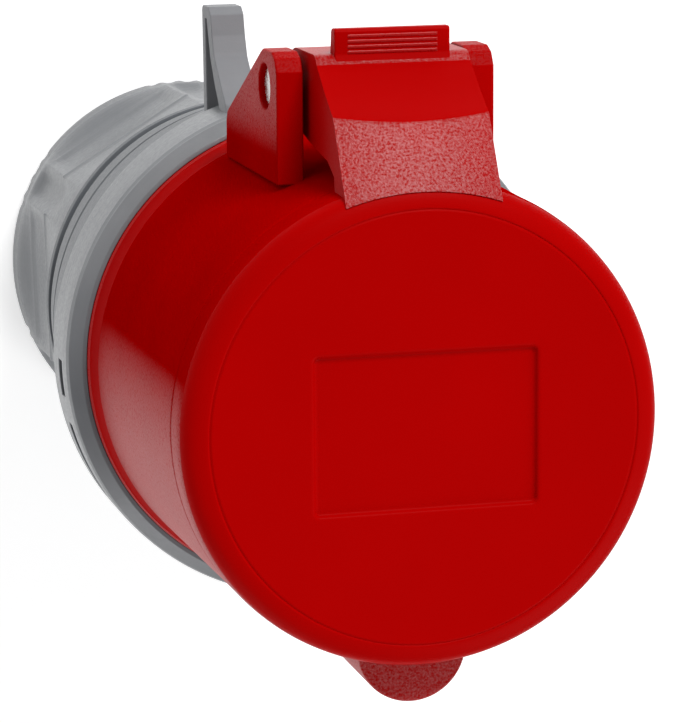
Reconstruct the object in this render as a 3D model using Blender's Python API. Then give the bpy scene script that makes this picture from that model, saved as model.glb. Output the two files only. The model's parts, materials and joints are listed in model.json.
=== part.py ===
"""Industrial cable socket: a round power connector for a cable end, with a
spring-closed hinged lid, five contacts and a gland nut for the cable.

The socket stands on its gland nut. +Z runs from the nut to the lid, +Y points
to the lid's hinge and -Y to the keyway. Sizes are in millimetres and are
turned into metres where vertices are made.
"""

import math

import bmesh
import bpy
from mathutils import Vector

MM = 0.001

# Clearances
GAP = 0.3                  # between touching pieces
THREAD_GAP = 0.4           # between the nut and the threaded neck
LIP_GAP = 1.2              # lets the lid's wall swing over the collar's lip
ARM_GAP = 1.0              # between the lid's arm and the ears

# Lid
LID_R = 39.0
LID_HEIGHT = 8.5
LID_ROOF = 2.8
LID_WALL = 2.4
LID_DRAFT = 0.4            # the wall's inner side narrows towards the roof
RIM_WIDTH = 4.2            # rounded rim round the lid's flat face
RECESS_WIDTH = 36.4
RECESS_HEIGHT = 25.5
RECESS_DEPTH = 0.8
RECESS_CORNER_R = 1.0
RECESS_SHIFT = -0.3        # of the recess from the lid's centre
GASKET_THICKNESS = 2.0
GASKET_OVERLAP = 0.8       # of the gasket inside the collar's bore

# Front housing
COLLAR_LENGTH = 57.7       # red housing that shows between ring and lid
COLLAR_TAPER = 0.95        # the collar's rear is wider than its front
LIP_WALL = 1.4             # thin lip that presses on the gasket
FLARE_RISE = 1.15
FLARE_LENGTH = 5.5
FLANGE_LENGTH = 5.7        # inside the ring of the rear housing
SPIGOT_STEP = 1.35         # from the collar down to the spigot
SPIGOT_WALL = 3.0
SPIGOT_LENGTH = 15.5
SEAT_DEPTH = 56.0          # lid face to the shoulder that stops the carrier
GROOVE_DEPTH = 1.4
GROOVE_WIDTH = 3.2
GROOVE_REACH = 3.3         # from the spigot's end to the groove

# Keyway bulge on the side opposite the hinge
KEY_R = 9.0
KEY_SINK = 1.4             # of the bulge's centre inside the collar's outside
KEY_LENGTH = 34.0
KEY_RAMP = 14.0
KEY_DROP = 6.5             # how far the ramp sinks into the collar
KEY_GROOVE_R = 4.0
KEY_GROOVE_SINK = 0.6      # of the groove's centre outside the collar's bore

# Hinge
HINGE_REACH = 12.0         # from the lid's edge out to the pin
HINGE_DEPTH = 31.0         # behind the lid's face
PIN_R = 2.25
PIN_SINK = 0.8             # pin ends inside the ears' outer faces
PIN_HEAD_R = 3.2
PIN_HEAD_LENGTH = 1.0
EAR_INNER = 13.6
EAR_OUTER = 18.0
EAR_RISE = 8.2             # from the pin to the ears' front
EAR_CHAMFER = 3.0
EAR_SLANT = 13.0           # how far the ears' rear slants in
EAR_END = 8.9              # from the ring to the ears' rear
EAR_RECESS_R = 3.7
EAR_RECESS_DEPTH = 2.2
KNUCKLE_R = 6.0

# Arm of the lid
ARM_SKIN = 3.0
ARM_RIB = 3.2
ARM_SLOPE = 0.6            # fall of the arm's front round the lid
ARM_STEP = 1.2             # from the lid's face down to the slope
SPRING_SLOT_HALF = 6.2
SPRING_SLOT_RISE = 4.4     # from the pin to the slot's front
LEG_GROOVE_DEPTH = 2.0     # groove for the spring's leg in the arm's top
LEG_GROOVE_LENGTH = 8.0
TAB_HALF = 9.45
TAB_REACH = 4.0            # beyond the ears' top
TAB_DEPTH = 18.9           # behind the lid's face
TAB_THICKNESS = 2.4
# Scoop between slope and tab: (from the arm's top, in front of the tab)
SCOOP = ((-9.5, 12.2), (-7.5, 8.9), (-5.4, 5.8), (-3.4, 3.2), (-2.0, 1.3), (-1.1, 0.4), (0.0, 0.0))

# Lid spring
SPRING_WIRE_R = 0.6
SPRING_TURNS = 5
SPRING_PITCH = 1.55
SPRING_GAP = 0.6           # between the coil and the hinge pin
SPRING_LEG = 3.2           # straight part of each leg
TURN_STEPS = 10

# Rear housing
REAR_LENGTH = 58.5         # without its threaded neck
RING_WALL = 2.9
RING_LENGTH = 14.3
RING_CHAMFER = 1.9
RING_LIP = 0.6             # flat front edge of the ring's mouth
MOUTH_LENGTH = 8.2         # wide mouth behind the flange, for the bayonet lugs
REAR_WALL = 3.8
CONE_STEP = 1.1            # from the ring down to the cone
CONE_TAPER = 6.3
CONE_START = 2.8           # from the ring to the cone
CONE_END = 7.2             # from the rear face to the cone
LIP_STEP = 0.4             # from the cone's end to the lip
LIP_LENGTH = 2.4
LIP_GROOVE = 0.7
LIP_GROOVE_WIDTH = 3.3
NECK_STEP = 9.5            # from the cone's end in to the neck
NECK_WALL = 4.5
LEDGE_WIDTH = 3.5
LEDGE_HEIGHT = 5.0
WINDOW_SETS = 3            # each a short and a long window
WINDOWS_DEG = ((184.7, 8.4), (204.8, 18.5))   # middle and width of each in a set
WINDOW_HEIGHT = 3.0
WINDOW_REACH = 4.8         # from the ring's rear edge to the windows

# Hairpin latch on the ring, beside the hinge
LATCH_LEFT = -15.0
LATCH_WIDTH = 6.0
LATCH_REACH = 14.5         # out from the ring
LATCH_ROOT = 4.8           # depth of its feet inside the ring
# Front leg, end and slot: (from the ring's outside, behind the ring's front)
LATCH_FRONT = ((-1.2, 5.3), (1.8, 8.8), (6.2, 13.6), (9.7, 15.1), (13.3, 16.1), (14.5, 17.7))
LATCH_REAR = ((14.5, 22.1), (13.9, 22.7))
LATCH_SLOT = ((12.3, 20.4), (12.3, 19.2), (5.7, 16.7), (1.2, 13.4), (-1.5, 10.9))

# Gland nut
NUT_LENGTH = 50.0
NUT_GAP = 1.0              # between the tightened nut and the rear housing
NUT_WALL = 7.4
NUT_RIM_STEP = 0.4
NUT_LOBES = 6
NUT_FLAT_DEG = 46.5
NUT_FLAT_CUT = 3.1         # depth of the flats
NUT_TURN_DEG = 4.0
NUT_SHOULDER = 21.5        # plain band in front of the flats
NUT_RIM = 3.0
NUT_RAMP = 9.0             # from the flats out to the rim
NUT_NOTCH_SINK = 0.5
NUT_FLOOR = 6.1            # under the inner cone
NUT_HOLE_GAP = 4.5         # hole's edge outside the seal's bore
CONE_DEPTH = 11.0          # of the nut's inner cone

# Cable clamp and seal in the gland
CLAW_COUNT = 8
CLAW_SLOT = 1.8
CLAW_WALL = 2.2
CLAW_THROAT = 4.2          # straight part of the claws
CLAMP_FLANGE = 2.4
SEAL_BORE_R = 9.0
SEAL_RIB = 0.9
SEAL_RIBS = 2

# Contact carrier and contacts
CARRIER_DEPTH = 13.0       # carrier's face behind the lid's face
SHROUD_SPACE = 5.8         # between carrier and collar, for the plug's wall
CARRIER_FLANGE = 3.4
CONTACT_COUNT = 5
CONTACT_SHARE = 0.62       # place of the contacts on the carrier's radius
LINE_BORE_R = 3.2
EARTH_BORE_R = 4.2
TUBE_WALL = 1.15
LAND_WALL = 2.4
COLLAR_WALL = 3.4
CONTACT_SINK = 3.0         # face of the carrier to the front of a contact
FACE_WEB = 2.5             # carrier's front wall
TUBE_LENGTH = 26.0
CONTACT_TAIL = 21.0        # behind the carrier
CONTACT_COLLAR = 1.7
WIRE_BORE_DEPTH = 15.0
SLIT_WIDTH = 0.8
SLIT_LENGTH = 12.0
CLIP_DEPTH = 4.0
CLIP_WIDTH = 2.2
CLIP_WALL = 0.7
CLIP_MOUTH_DEG = 40.0
SCREW_R = 1.9
SCREW_REACH = 2.8          # of a terminal screw out of its contact
DRIVER_WIDTH = 0.8
DRIVER_DEPTH = 0.9
COVER_THICKNESS = 6.0
COVER_MARGIN = 2.6         # between the cover and the spigot's bore
COVER_SCREW_R = 1.7
COVER_SCREW_LENGTH = 17.0
COVER_SCREW_INSET = 4.2    # from the carrier's edge
COVER_SCREW_TURNS_DEG = (18.0, 162.0)   # between the contacts
SCREW_HEAD_R = 3.1
SCREW_HEAD_LENGTH = 1.9

# Facets round the axis, by the size of the piece
LARGE_STEPS = 48
MEDIUM_STEPS = 36
SMALL_STEPS = 16
TINY_STEPS = 10

# Levels along the axis that several pieces share
REAR_Z = NUT_LENGTH + NUT_GAP
RING_Z = REAR_Z + REAR_LENGTH
SHOULDER_Z = RING_Z + COLLAR_LENGTH
LID_Z = SHOULDER_Z + GAP
TOP_Z = LID_Z + LID_HEIGHT
ROOF_Z = TOP_Z - LID_ROOF
LIP_Z = ROOF_Z - GASKET_THICKNESS - 2 * GAP
SEAT_Z = TOP_Z - SEAT_DEPTH
FACE_Z = TOP_Z - CARRIER_DEPTH
CARRIER_REAR_Z = SEAT_Z - GAP - CARRIER_FLANGE
FLANGE_Z = RING_Z - FLANGE_LENGTH
SPIGOT_Z = FLANGE_Z - SPIGOT_LENGTH
HINGE_Z = TOP_Z - HINGE_DEPTH
NECK_Z = NUT_FLOOR + CONE_DEPTH + CLAW_THROAT + CLAMP_FLANGE + GAP

# Radii that follow from the lid, from the front to the nut
COLLAR_REAR_R = LID_R + COLLAR_TAPER
COLLAR_LIP_R = LID_R - LID_WALL - LIP_GAP
COLLAR_BORE_R = COLLAR_LIP_R - LIP_WALL
FLANGE_R = COLLAR_REAR_R + FLARE_RISE
SPIGOT_R = COLLAR_REAR_R - SPIGOT_STEP
SPIGOT_BORE_R = SPIGOT_R - SPIGOT_WALL
RING_BORE_R = FLANGE_R + GAP
RING_R = RING_BORE_R + RING_WALL
CONE_REAR_R = RING_R - CONE_TAPER
LIP_R = CONE_REAR_R - LIP_STEP
NECK_R = CONE_REAR_R - NECK_STEP
NECK_BORE_R = NECK_R - NECK_WALL
NUT_R = NECK_R + THREAD_GAP + NUT_WALL
NUT_HOLE_R = SEAL_BORE_R + NUT_HOLE_GAP
CARRIER_R = COLLAR_BORE_R - SHROUD_SPACE

# Places round the hinge
HINGE_OFFSET = LID_R + HINGE_REACH
HINGE_BORE_R = PIN_R + GAP
PIN_HALF_LENGTH = EAR_OUTER - PIN_SINK
ARM_HALF = EAR_INNER - ARM_GAP
EAR_TOP = HINGE_OFFSET + KNUCKLE_R
TAB_TOP = EAR_TOP + TAB_REACH
KEY_OFFSET = LID_R - KEY_SINK
FRAME_SHIFT = (TAB_TOP - KEY_OFFSET - KEY_R) / 2

MATERIALS = {
    "red_plastic": ((0.42, 0.0, 0.0), 0.45, 0.0),
    "grey_plastic": ((0.30, 0.31, 0.33), 0.5, 0.0),
    "black_plastic": ((0.02, 0.02, 0.022), 0.5, 0.0),
    "rubber": ((0.015, 0.015, 0.015), 0.8, 0.0),
    "brass": ((0.72, 0.52, 0.22), 0.3, 1.0),
    "steel": ((0.62, 0.62, 0.60), 0.3, 1.0),
}


def clear_scene():
    for item in list(bpy.data.objects):
        bpy.data.objects.remove(item, do_unlink=True)


def material(slot, name):
    color, roughness, metallic = MATERIALS[slot]
    mat = bpy.data.materials.new(name + "_" + slot)
    mat.use_nodes = True
    shader = mat.node_tree.nodes["Principled BSDF"]
    shader.inputs["Base Color"].default_value = (*color, 1.0)
    shader.inputs["Roughness"].default_value = roughness
    shader.inputs["Metallic"].default_value = metallic
    return mat


def add_object(name, bm, slot=None):
    """Turn a bmesh in millimetres into an object in metres."""
    bmesh.ops.recalc_face_normals(bm, faces=bm.faces)
    bmesh.ops.scale(bm, vec=(MM, MM, MM), verts=bm.verts)
    mesh = bpy.data.meshes.new(name)
    bm.to_mesh(mesh)
    bm.free()
    mesh.shade_smooth()
    mesh.set_sharp_from_angle(angle=math.radians(30))
    item = bpy.data.objects.new(name, mesh)
    bpy.context.scene.collection.objects.link(item)
    if slot:
        mesh.materials.append(material(slot, name))
    else:
        item.hide_render = True
        item.display_type = "WIRE"
    return item


def turned(name, profile, steps, slot=None):
    """Spin an outline of (radius, z) corners round the Z axis."""
    bm = bmesh.new()
    verts = [bm.verts.new((r, 0, z)) for r, z in profile]
    on_axis = profile[0][0] == 0 and profile[-1][0] == 0
    pairs = list(zip(verts, verts[1:]))
    if not on_axis:
        pairs.append((verts[-1], verts[0]))
    edges = [bm.edges.new(pair) for pair in pairs]
    bmesh.ops.spin(bm, geom=verts + edges, cent=(0, 0, 0), axis=(0, 0, 1),
                   angle=2 * math.pi, steps=steps)
    bmesh.ops.remove_doubles(bm, verts=bm.verts, dist=1e-4)
    return add_object(name, bm, slot)


def loft(name, rings, slot=None, closed=False):
    """Skin a row of outlines with equal counts; ends are capped or joined."""
    bm = bmesh.new()
    rows = [[bm.verts.new(point) for point in ring] for ring in rings]
    count = len(rows[0])
    pairs = list(zip(rows, rows[1:]))
    if closed:
        pairs.append((rows[-1], rows[0]))
    for low, high in pairs:
        for i in range(count):
            j = (i + 1) % count
            bm.faces.new((low[i], low[j], high[j], high[i]))
    if not closed:
        bm.faces.new(rows[0][::-1])
        bm.faces.new(rows[-1])
    return add_object(name, bm, slot)


def prism_x(name, outline, low, high, slot=None):
    """Extrude an outline of (y, z) corners along X."""
    return loft(name, [[(x, y, z) for y, z in outline] for x in (low, high)], slot)


def prism_z(name, outline, low, high, slot=None):
    """Extrude an outline of (x, y) corners along Z."""
    return loft(name, [[(x, y, z) for x, y in outline] for z in (low, high)], slot)


def arc(center, radius, start_deg, end_deg, steps):
    """Points on an arc, both ends included."""
    cu, cv = center
    turns = [math.radians(start_deg + (end_deg - start_deg) * i / steps)
             for i in range(steps + 1)]
    return [(cu + radius * math.cos(t), cv + radius * math.sin(t)) for t in turns]


def circle(radius, steps, center=(0.0, 0.0)):
    return arc(center, radius, 0, 360, steps)[:-1]


def boolean(target, tool, operation):
    tool.parent = target
    mod = target.modifiers.new(tool.name, "BOOLEAN")
    mod.object = tool
    mod.operation = operation
    mod.solver = "EXACT"


def cut(target, tool):
    boolean(target, tool, "DIFFERENCE")


def join(target, tool):
    boolean(target, tool, "UNION")


def around(count, start_deg=0.0):
    """Angles in radians of a pattern round the axis."""
    return [math.radians(start_deg + 360 * i / count) for i in range(count)]


def place(item, x=0.0, y=0.0, z=0.0, turn=0.0):
    item.location = (x * MM, y * MM, z * MM)
    item.rotation_euler = (0, 0, turn)
    return item


def along_x(item, y, z):
    """Lay a piece turned about Z along X, at the hinge for example."""
    item.rotation_euler = (0, math.radians(90), 0)
    item.location = (0, y * MM, z * MM)
    return item


# Front housing: red collar with the hinge ears and the keyway bulge

def ear_outline():
    """Side view of a hinge ear, sunk into the collar."""
    foot = COLLAR_BORE_R - 1.0
    front = HINGE_Z + EAR_RISE
    rear = RING_Z + EAR_END
    return [(foot, front), (EAR_TOP - EAR_CHAMFER, front),
            (EAR_TOP - 0.3 * EAR_CHAMFER, front - 0.4 * EAR_CHAMFER),
            (EAR_TOP, front - 1.1 * EAR_CHAMFER), (EAR_TOP, HINGE_Z - 1.0),
            (EAR_TOP - 0.6, HINGE_Z - 2.4), (EAR_TOP - EAR_SLANT, rear),
            (EAR_TOP - EAR_SLANT - 1.6, rear - 0.8), (foot, rear - 1.0)]


def key_rings():
    """Outlines of the keyway bulge, a half-round bar that sinks in at its rear."""
    front, rear = SHOULDER_Z, SHOULDER_Z - KEY_LENGTH
    edge = 0.6
    rings = []
    for level, radius, sink in ((front, KEY_R - edge, 0.0), (front - edge, KEY_R, 0.0),
                                (rear + KEY_RAMP, KEY_R, 0.0), (rear, KEY_R, KEY_DROP)):
        points = arc((0.0, -KEY_OFFSET + sink), radius, 180, 360, SMALL_STEPS)
        inner = -KEY_OFFSET + KEY_R + 1.0
        rings.append([(x, y, level) for x, y in points + [(radius, inner), (-radius, inner)]])
    return rings


def front_housing():
    flare = RING_Z + FLARE_LENGTH
    groove_low = SPIGOT_Z + GROOVE_REACH
    groove_top = groove_low + GROOVE_WIDTH
    groove_r = SPIGOT_R - GROOVE_DEPTH
    edge = 0.5
    body = turned("front_housing", [
        (COLLAR_BORE_R, LIP_Z), (COLLAR_LIP_R, LIP_Z), (COLLAR_LIP_R, SHOULDER_Z),
        (LID_R - edge, SHOULDER_Z), (LID_R, SHOULDER_Z - edge), (COLLAR_REAR_R, flare),
        (COLLAR_REAR_R + 0.15 * FLARE_RISE, RING_Z + 0.65 * FLARE_LENGTH),
        (COLLAR_REAR_R + 0.45 * FLARE_RISE, RING_Z + 0.35 * FLARE_LENGTH),
        (FLANGE_R, RING_Z + edge), (FLANGE_R, FLANGE_Z), (SPIGOT_R, FLANGE_Z),
        (SPIGOT_R, groove_top), (groove_r, groove_top), (groove_r, groove_low),
        (SPIGOT_R, groove_low), (SPIGOT_R, SPIGOT_Z + edge), (SPIGOT_R - edge, SPIGOT_Z),
        (SPIGOT_BORE_R, SPIGOT_Z), (SPIGOT_BORE_R, SEAT_Z), (COLLAR_BORE_R, SEAT_Z)],
        LARGE_STEPS, "red_plastic")
    for side in (-1, 1):
        name = "ear_left" if side < 0 else "ear_right"
        low, high = sorted((side * EAR_INNER, side * EAR_OUTER))
        join(body, prism_x(name, ear_outline(), low, high))
    join(body, loft("key_bulge", key_rings()))
    bore = turned("collar_bore", [(0, SEAT_Z - 1), (COLLAR_BORE_R, SEAT_Z - 1),
                                  (COLLAR_BORE_R, LIP_Z + 1), (0, LIP_Z + 1)], LARGE_STEPS)
    cut(body, bore)
    groove = circle(KEY_GROOVE_R, SMALL_STEPS, (0.0, -COLLAR_BORE_R - KEY_GROOVE_SINK))
    cut(body, prism_z("key_groove", groove, SHOULDER_Z - KEY_LENGTH + KEY_RAMP, LIP_Z + 1))
    hole = circle(HINGE_BORE_R, SMALL_STEPS)
    reach = EAR_OUTER + 1
    cut(body, along_x(prism_z("ear_holes", hole, -reach, reach), HINGE_OFFSET, HINGE_Z))
    recess = circle(EAR_RECESS_R, SMALL_STEPS)
    for side in (-1, 1):
        name = "ear_recess_left" if side < 0 else "ear_recess_right"
        low, high = sorted((side * (EAR_OUTER - EAR_RECESS_DEPTH), side * reach))
        cut(body, along_x(prism_z(name, recess, low, high), HINGE_OFFSET, HINGE_Z))
    return body


# Lid, with the arm that swings on the hinge pin

def arm_outline():
    """Side view of the arm: slope, scoop, thumb tab, top and knuckle."""
    scoop = [(EAR_TOP + y, TOP_Z - TAB_DEPTH + z) for y, z in SCOOP]
    knuckle = arc((HINGE_OFFSET, HINGE_Z), KNUCKLE_R, 0, -180, 14)
    bottom = [(LID_R + 3.3, HINGE_Z + 11.0), (LID_R + 2.2, HINGE_Z + 19.0),
              (LID_R + 0.2, LID_Z + 0.6)]
    return [(LID_R - 3.0, TOP_Z - 2.0), (LID_R - 3.0, TOP_Z + 3.0),
            (LID_R + 2.0, TOP_Z + 3.0)] + scoop + knuckle + bottom


def arm():
    """The arm as one prism, with its front slope turned round the lid's axis."""
    body = prism_x("arm", arm_outline(), -ARM_HALF, ARM_HALF)
    near, far = LID_R - 0.7, TAB_TOP + 8.0
    face = TOP_Z - ARM_STEP
    low = HINGE_Z - 20
    cone = turned("arm_slope", [(0, face), (near, face), (far, face - ARM_SLOPE * (far - near)),
                                (far, low), (0, low)], LARGE_STEPS)
    boolean(body, cone, "INTERSECT")
    front = TOP_Z - TAB_DEPTH
    rear = front - TAB_THICKNESS
    root = EAR_TOP - 4
    tab = [(root, front), (TAB_TOP - 0.5, front), (TAB_TOP, front - 0.5), (TAB_TOP, rear),
           (EAR_TOP - 0.4, rear - 0.6), (root, rear - 1.1)]
    join(body, prism_x("thumb_tab", tab, -TAB_HALF, TAB_HALF))
    top, back, low = EAR_TOP - ARM_SKIN, LID_R - 3.0, HINGE_Z - 10.0
    pocket = [(back, HINGE_Z + 20.0), (LID_R + 5.6, HINGE_Z + 20.0), (top - 3.4, HINGE_Z + 12.0),
              (top, HINGE_Z + 8.2), (top, low), (back, low)]
    half = ARM_HALF - ARM_RIB
    cut(body, prism_x("arm_pocket", pocket, -half, half))
    barrel = arc((HINGE_OFFSET, HINGE_Z), KNUCKLE_R, 0, 360, 24)[:-1]
    join(body, prism_x("knuckles", barrel, -half - 1, half + 1))
    slot_front = HINGE_Z + SPRING_SLOT_RISE
    slot = [(back, slot_front), (TAB_TOP, slot_front), (TAB_TOP, low), (back, low)]
    cut(body, prism_x("spring_slot", slot, -SPRING_SLOT_HALF, SPRING_SLOT_HALF))
    floor = EAR_TOP - LEG_GROOVE_DEPTH
    groove = [(floor, HINGE_Z), (TAB_TOP, HINGE_Z), (TAB_TOP, HINGE_Z + LEG_GROOVE_LENGTH),
              (floor, HINGE_Z + LEG_GROOVE_LENGTH)]
    wide = SPRING_WIRE_R + GAP
    leg = spring_width() / 2
    cut(body, prism_x("leg_groove", groove, -leg - wide, -leg + wide))
    hole = circle(HINGE_BORE_R, SMALL_STEPS)
    reach = EAR_OUTER + 1
    cut(body, along_x(prism_z("knuckle_bore", hole, -reach, reach), HINGE_OFFSET, HINGE_Z))
    return body


def recess_cutter():
    """Rounded rectangle that narrows a little towards its floor."""
    corners = [(1, 1), (-1, 1), (-1, -1), (1, -1)]
    rings = []
    for level, grow in ((TOP_Z - RECESS_DEPTH, -0.5), (TOP_Z, 0.0), (TOP_Z + 1, 0.3)):
        ring = []
        for i, (sx, sy) in enumerate(corners):
            center = (sx * (RECESS_WIDTH / 2 + grow - RECESS_CORNER_R),
                      sy * (RECESS_HEIGHT / 2 + grow - RECESS_CORNER_R) + RECESS_SHIFT)
            ring += arc(center, RECESS_CORNER_R, 90 * i, 90 * i + 90, 3)
        rings.append([(x, y, level) for x, y in ring])
    return loft("recess", rings)


def lid():
    inner = LID_R - LID_WALL
    edge = 0.4
    dome = [(LID_R - 0.06 * RIM_WIDTH, TOP_Z - 0.4 * LID_HEIGHT),
            (LID_R - 0.21 * RIM_WIDTH, TOP_Z - 0.22 * LID_HEIGHT),
            (LID_R - 0.48 * RIM_WIDTH, TOP_Z - 0.1 * LID_HEIGHT),
            (LID_R - 0.76 * RIM_WIDTH, TOP_Z - 0.035 * LID_HEIGHT), (LID_R - RIM_WIDTH, TOP_Z)]
    body = turned("lid", [
        (0, ROOF_Z), (inner - LID_DRAFT, ROOF_Z), (inner, LID_Z), (LID_R - edge, LID_Z),
        (LID_R, LID_Z + edge)] + dome + [(0, TOP_Z)], LARGE_STEPS, "red_plastic")
    join(body, arm())
    cut(body, recess_cutter())
    return body


def lid_gasket():
    inner = COLLAR_BORE_R - GASKET_OVERLAP
    outer = LID_R - LID_WALL - LID_DRAFT - 2 * GAP
    top = ROOF_Z - GAP
    return turned("lid_gasket", [
        (inner, top), (inner, top - GASKET_THICKNESS),
        (outer, top - GASKET_THICKNESS), (outer, top)], MEDIUM_STEPS, "rubber")


def hinge_pin():
    tip = PIN_HALF_LENGTH
    head = -PIN_HALF_LENGTH + PIN_HEAD_LENGTH
    pin = turned("hinge_pin", [
        (0, -tip), (PIN_HEAD_R - 0.3, -tip), (PIN_HEAD_R, -tip + 0.3), (PIN_HEAD_R, head),
        (PIN_R, head), (PIN_R, tip - 0.5), (PIN_R - 0.5, tip), (0, tip)],
        SMALL_STEPS, "steel")
    return along_x(pin, HINGE_OFFSET, HINGE_Z)


def spring_width():
    return SPRING_TURNS * SPRING_PITCH


def lid_spring():
    """Torsion spring round the pin, one leg on the arm and one on the collar."""
    mean = PIN_R + SPRING_GAP + SPRING_WIRE_R
    width = spring_width()
    lift = EAR_TOP - LEG_GROOVE_DEPTH + GAP + SPRING_WIRE_R - HINGE_OFFSET
    points = [(-width / 2, lift, mean + 0.75 + SPRING_LEG), (-width / 2, lift, mean + 0.75)]
    steps = TURN_STEPS * SPRING_TURNS + TURN_STEPS // 4
    for i in range(steps + 1):
        turn = math.radians(90 + 360 / TURN_STEPS * i)
        x = -width / 2 + width * i / steps
        points.append((x, mean * math.sin(turn), mean * math.cos(turn)))
    foot = COLLAR_REAR_R + GAP + SPRING_WIRE_R - HINGE_OFFSET
    points += [(width / 2, foot + 0.6, -mean - 0.4), (width / 2, foot, -mean - 1.4),
               (width / 2, foot, -mean - 2.8 - SPRING_LEG)]
    curve = bpy.data.curves.new("lid_spring", "CURVE")
    curve.dimensions = "3D"
    curve.bevel_depth = SPRING_WIRE_R * MM
    curve.bevel_resolution = 1
    curve.use_fill_caps = True
    spline = curve.splines.new("POLY")
    spline.points.add(len(points) - 1)
    for point, (x, y, z) in zip(spline.points, points):
        point.co = (x * MM, y * MM, z * MM, 1)
    curve.materials.append(material("steel", "lid_spring"))
    item = bpy.data.objects.new("lid_spring", curve)
    bpy.context.scene.collection.objects.link(item)
    return place(item, y=HINGE_OFFSET, z=HINGE_Z)


# Contacts and the carrier that holds them

def contacts():
    """Name, place and bore radius of each contact; the earth sits by the keyway."""
    names = ("earth", "line_1", "line_2", "line_3", "neutral")
    pitch = CARRIER_R * CONTACT_SHARE
    spots = []
    for name, turn in zip(names, around(CONTACT_COUNT, -90)):
        bore = EARTH_BORE_R if name == "earth" else LINE_BORE_R
        spots.append((name, pitch * math.cos(turn), pitch * math.sin(turn), bore, turn))
    return spots


def cover_screw_spots():
    """Name and place of each screw that holds the carrier's cover."""
    pitch = CARRIER_R - COVER_SCREW_INSET
    spots = []
    for index, degrees in enumerate(COVER_SCREW_TURNS_DEG):
        turn = math.radians(degrees)
        name = f"carrier_screw_{index + 1}"
        spots.append((name, pitch * math.cos(turn), pitch * math.sin(turn)))
    return spots


def carrier():
    """Insulating block with a pocket for each contact behind a front web."""
    flange = SPIGOT_BORE_R - GAP
    rear = CARRIER_REAR_Z
    web = FACE_Z - FACE_WEB
    body = turned("contact_carrier", [
        (0, rear), (flange, rear), (flange, SEAT_Z - GAP), (CARRIER_R, SEAT_Z - GAP),
        (CARRIER_R, FACE_Z - 1), (CARRIER_R - 1, FACE_Z), (0, FACE_Z)],
        MEDIUM_STEPS, "black_plastic")
    for name, x, y, bore, _ in contacts():
        land, hole = bore + LAND_WALL + GAP, bore + GAP
        tool = turned("pocket_" + name, [
            (0, rear - 1), (land, rear - 1), (land, web), (hole, web), (hole, FACE_Z + 1),
            (0, FACE_Z + 1)], SMALL_STEPS)
        cut(body, place(tool, x, y))
    pilot = COVER_SCREW_R + GAP
    depth = rear + COVER_SCREW_LENGTH - COVER_THICKNESS
    for name, x, y in cover_screw_spots():
        tool = turned("pilot_" + name, [(0, rear - 1), (pilot, rear - 1), (pilot, depth),
                                        (0, depth + 1)], TINY_STEPS)
        cut(body, place(tool, x, y))
    return body


def carrier_cover():
    """Plate behind the carrier that holds the contacts by their collars."""
    top = CARRIER_REAR_Z - GAP
    low = top - COVER_THICKNESS
    outer = SPIGOT_BORE_R - COVER_MARGIN
    body = turned("carrier_cover", [(0, low), (outer - 1, low), (outer, low + 1),
                                    (outer, top), (0, top)], MEDIUM_STEPS, "black_plastic")
    for name, x, y, bore, _ in contacts():
        land, collar = bore + LAND_WALL + GAP, bore + COLLAR_WALL + GAP
        step = top - CONTACT_COLLAR - GAP
        tool = turned("cover_hole_" + name, [
            (0, low - 1), (land, low - 1), (land, step), (collar, step), (collar, top + 1),
            (0, top + 1)], SMALL_STEPS)
        cut(body, place(tool, x, y))
    head, shank = SCREW_HEAD_R + GAP, COVER_SCREW_R + GAP
    seat = low + SCREW_HEAD_LENGTH + GAP
    for name, x, y in cover_screw_spots():
        tool = turned("seat_" + name, [
            (0, low - 1), (head, low - 1), (head, seat), (shank, seat), (shank, top + 1),
            (0, top + 1)], TINY_STEPS)
        cut(body, place(tool, x, y))
    return body


def cover_screws():
    low = CARRIER_REAR_Z - GAP - COVER_THICKNESS
    neck, tip = low + SCREW_HEAD_LENGTH, low + COVER_SCREW_LENGTH
    for name, x, y in cover_screw_spots():
        screw = turned(name, [
            (0, low), (SCREW_HEAD_R - 0.4, low), (SCREW_HEAD_R, low + 0.4), (SCREW_HEAD_R, neck),
            (COVER_SCREW_R, neck), (COVER_SCREW_R, tip - 1.0), (COVER_SCREW_R - 0.8, tip),
            (0, tip)], TINY_STEPS, "steel")
        cut(screw, driver_slot(name, SCREW_HEAD_R, low))
        place(screw, x, y)


def driver_slot(name, radius, level):
    """Slot for a flat driver across a screw end that lies at a level."""
    wide, half = radius + 1, DRIVER_WIDTH / 2
    outline = [(-wide, -half), (wide, -half), (wide, half), (-wide, half)]
    return prism_z(name + "_slot", outline, level - DRIVER_DEPTH, level + DRIVER_DEPTH)


def contact_sleeve(name, x, y, bore, turn):
    """Brass socket: sprung tube in front, clamping block for the wire behind."""
    front = FACE_Z - CONTACT_SINK
    collar_top = CARRIER_REAR_Z - GAP
    collar_low = collar_top - CONTACT_COLLAR
    rear = CARRIER_REAR_Z - CONTACT_TAIL
    tube, land, collar = bore + TUBE_WALL, bore + LAND_WALL, bore + COLLAR_WALL
    tube_end = front - TUBE_LENGTH
    wire_top = rear + WIRE_BORE_DEPTH
    body = turned("contact_" + name, [
        (0, wire_top), (bore, wire_top), (bore, rear), (land, rear), (land, collar_low),
        (collar, collar_low), (collar, collar_top), (land, collar_top),
        (land, tube_end - 1.0), (tube, tube_end), (tube, front), (bore + 0.4, front),
        (bore, front - 0.6), (bore, tube_end - 2.0), (0, tube_end - 2.0)],
        SMALL_STEPS, "brass")
    wide = SLIT_WIDTH / 2
    slit = [(-land, -wide), (land, -wide), (land, wide), (-land, wide)]
    cut(body, prism_z("slit_" + name, slit, front - SLIT_LENGTH, front + 1))
    drill = prism_z("screw_hole_" + name, circle(SCREW_R + GAP, TINY_STEPS), 0, land + 1)
    cut(body, along_x(drill, 0, rear + WIRE_BORE_DEPTH / 2))
    return place(body, x, y, 0, turn)


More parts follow.
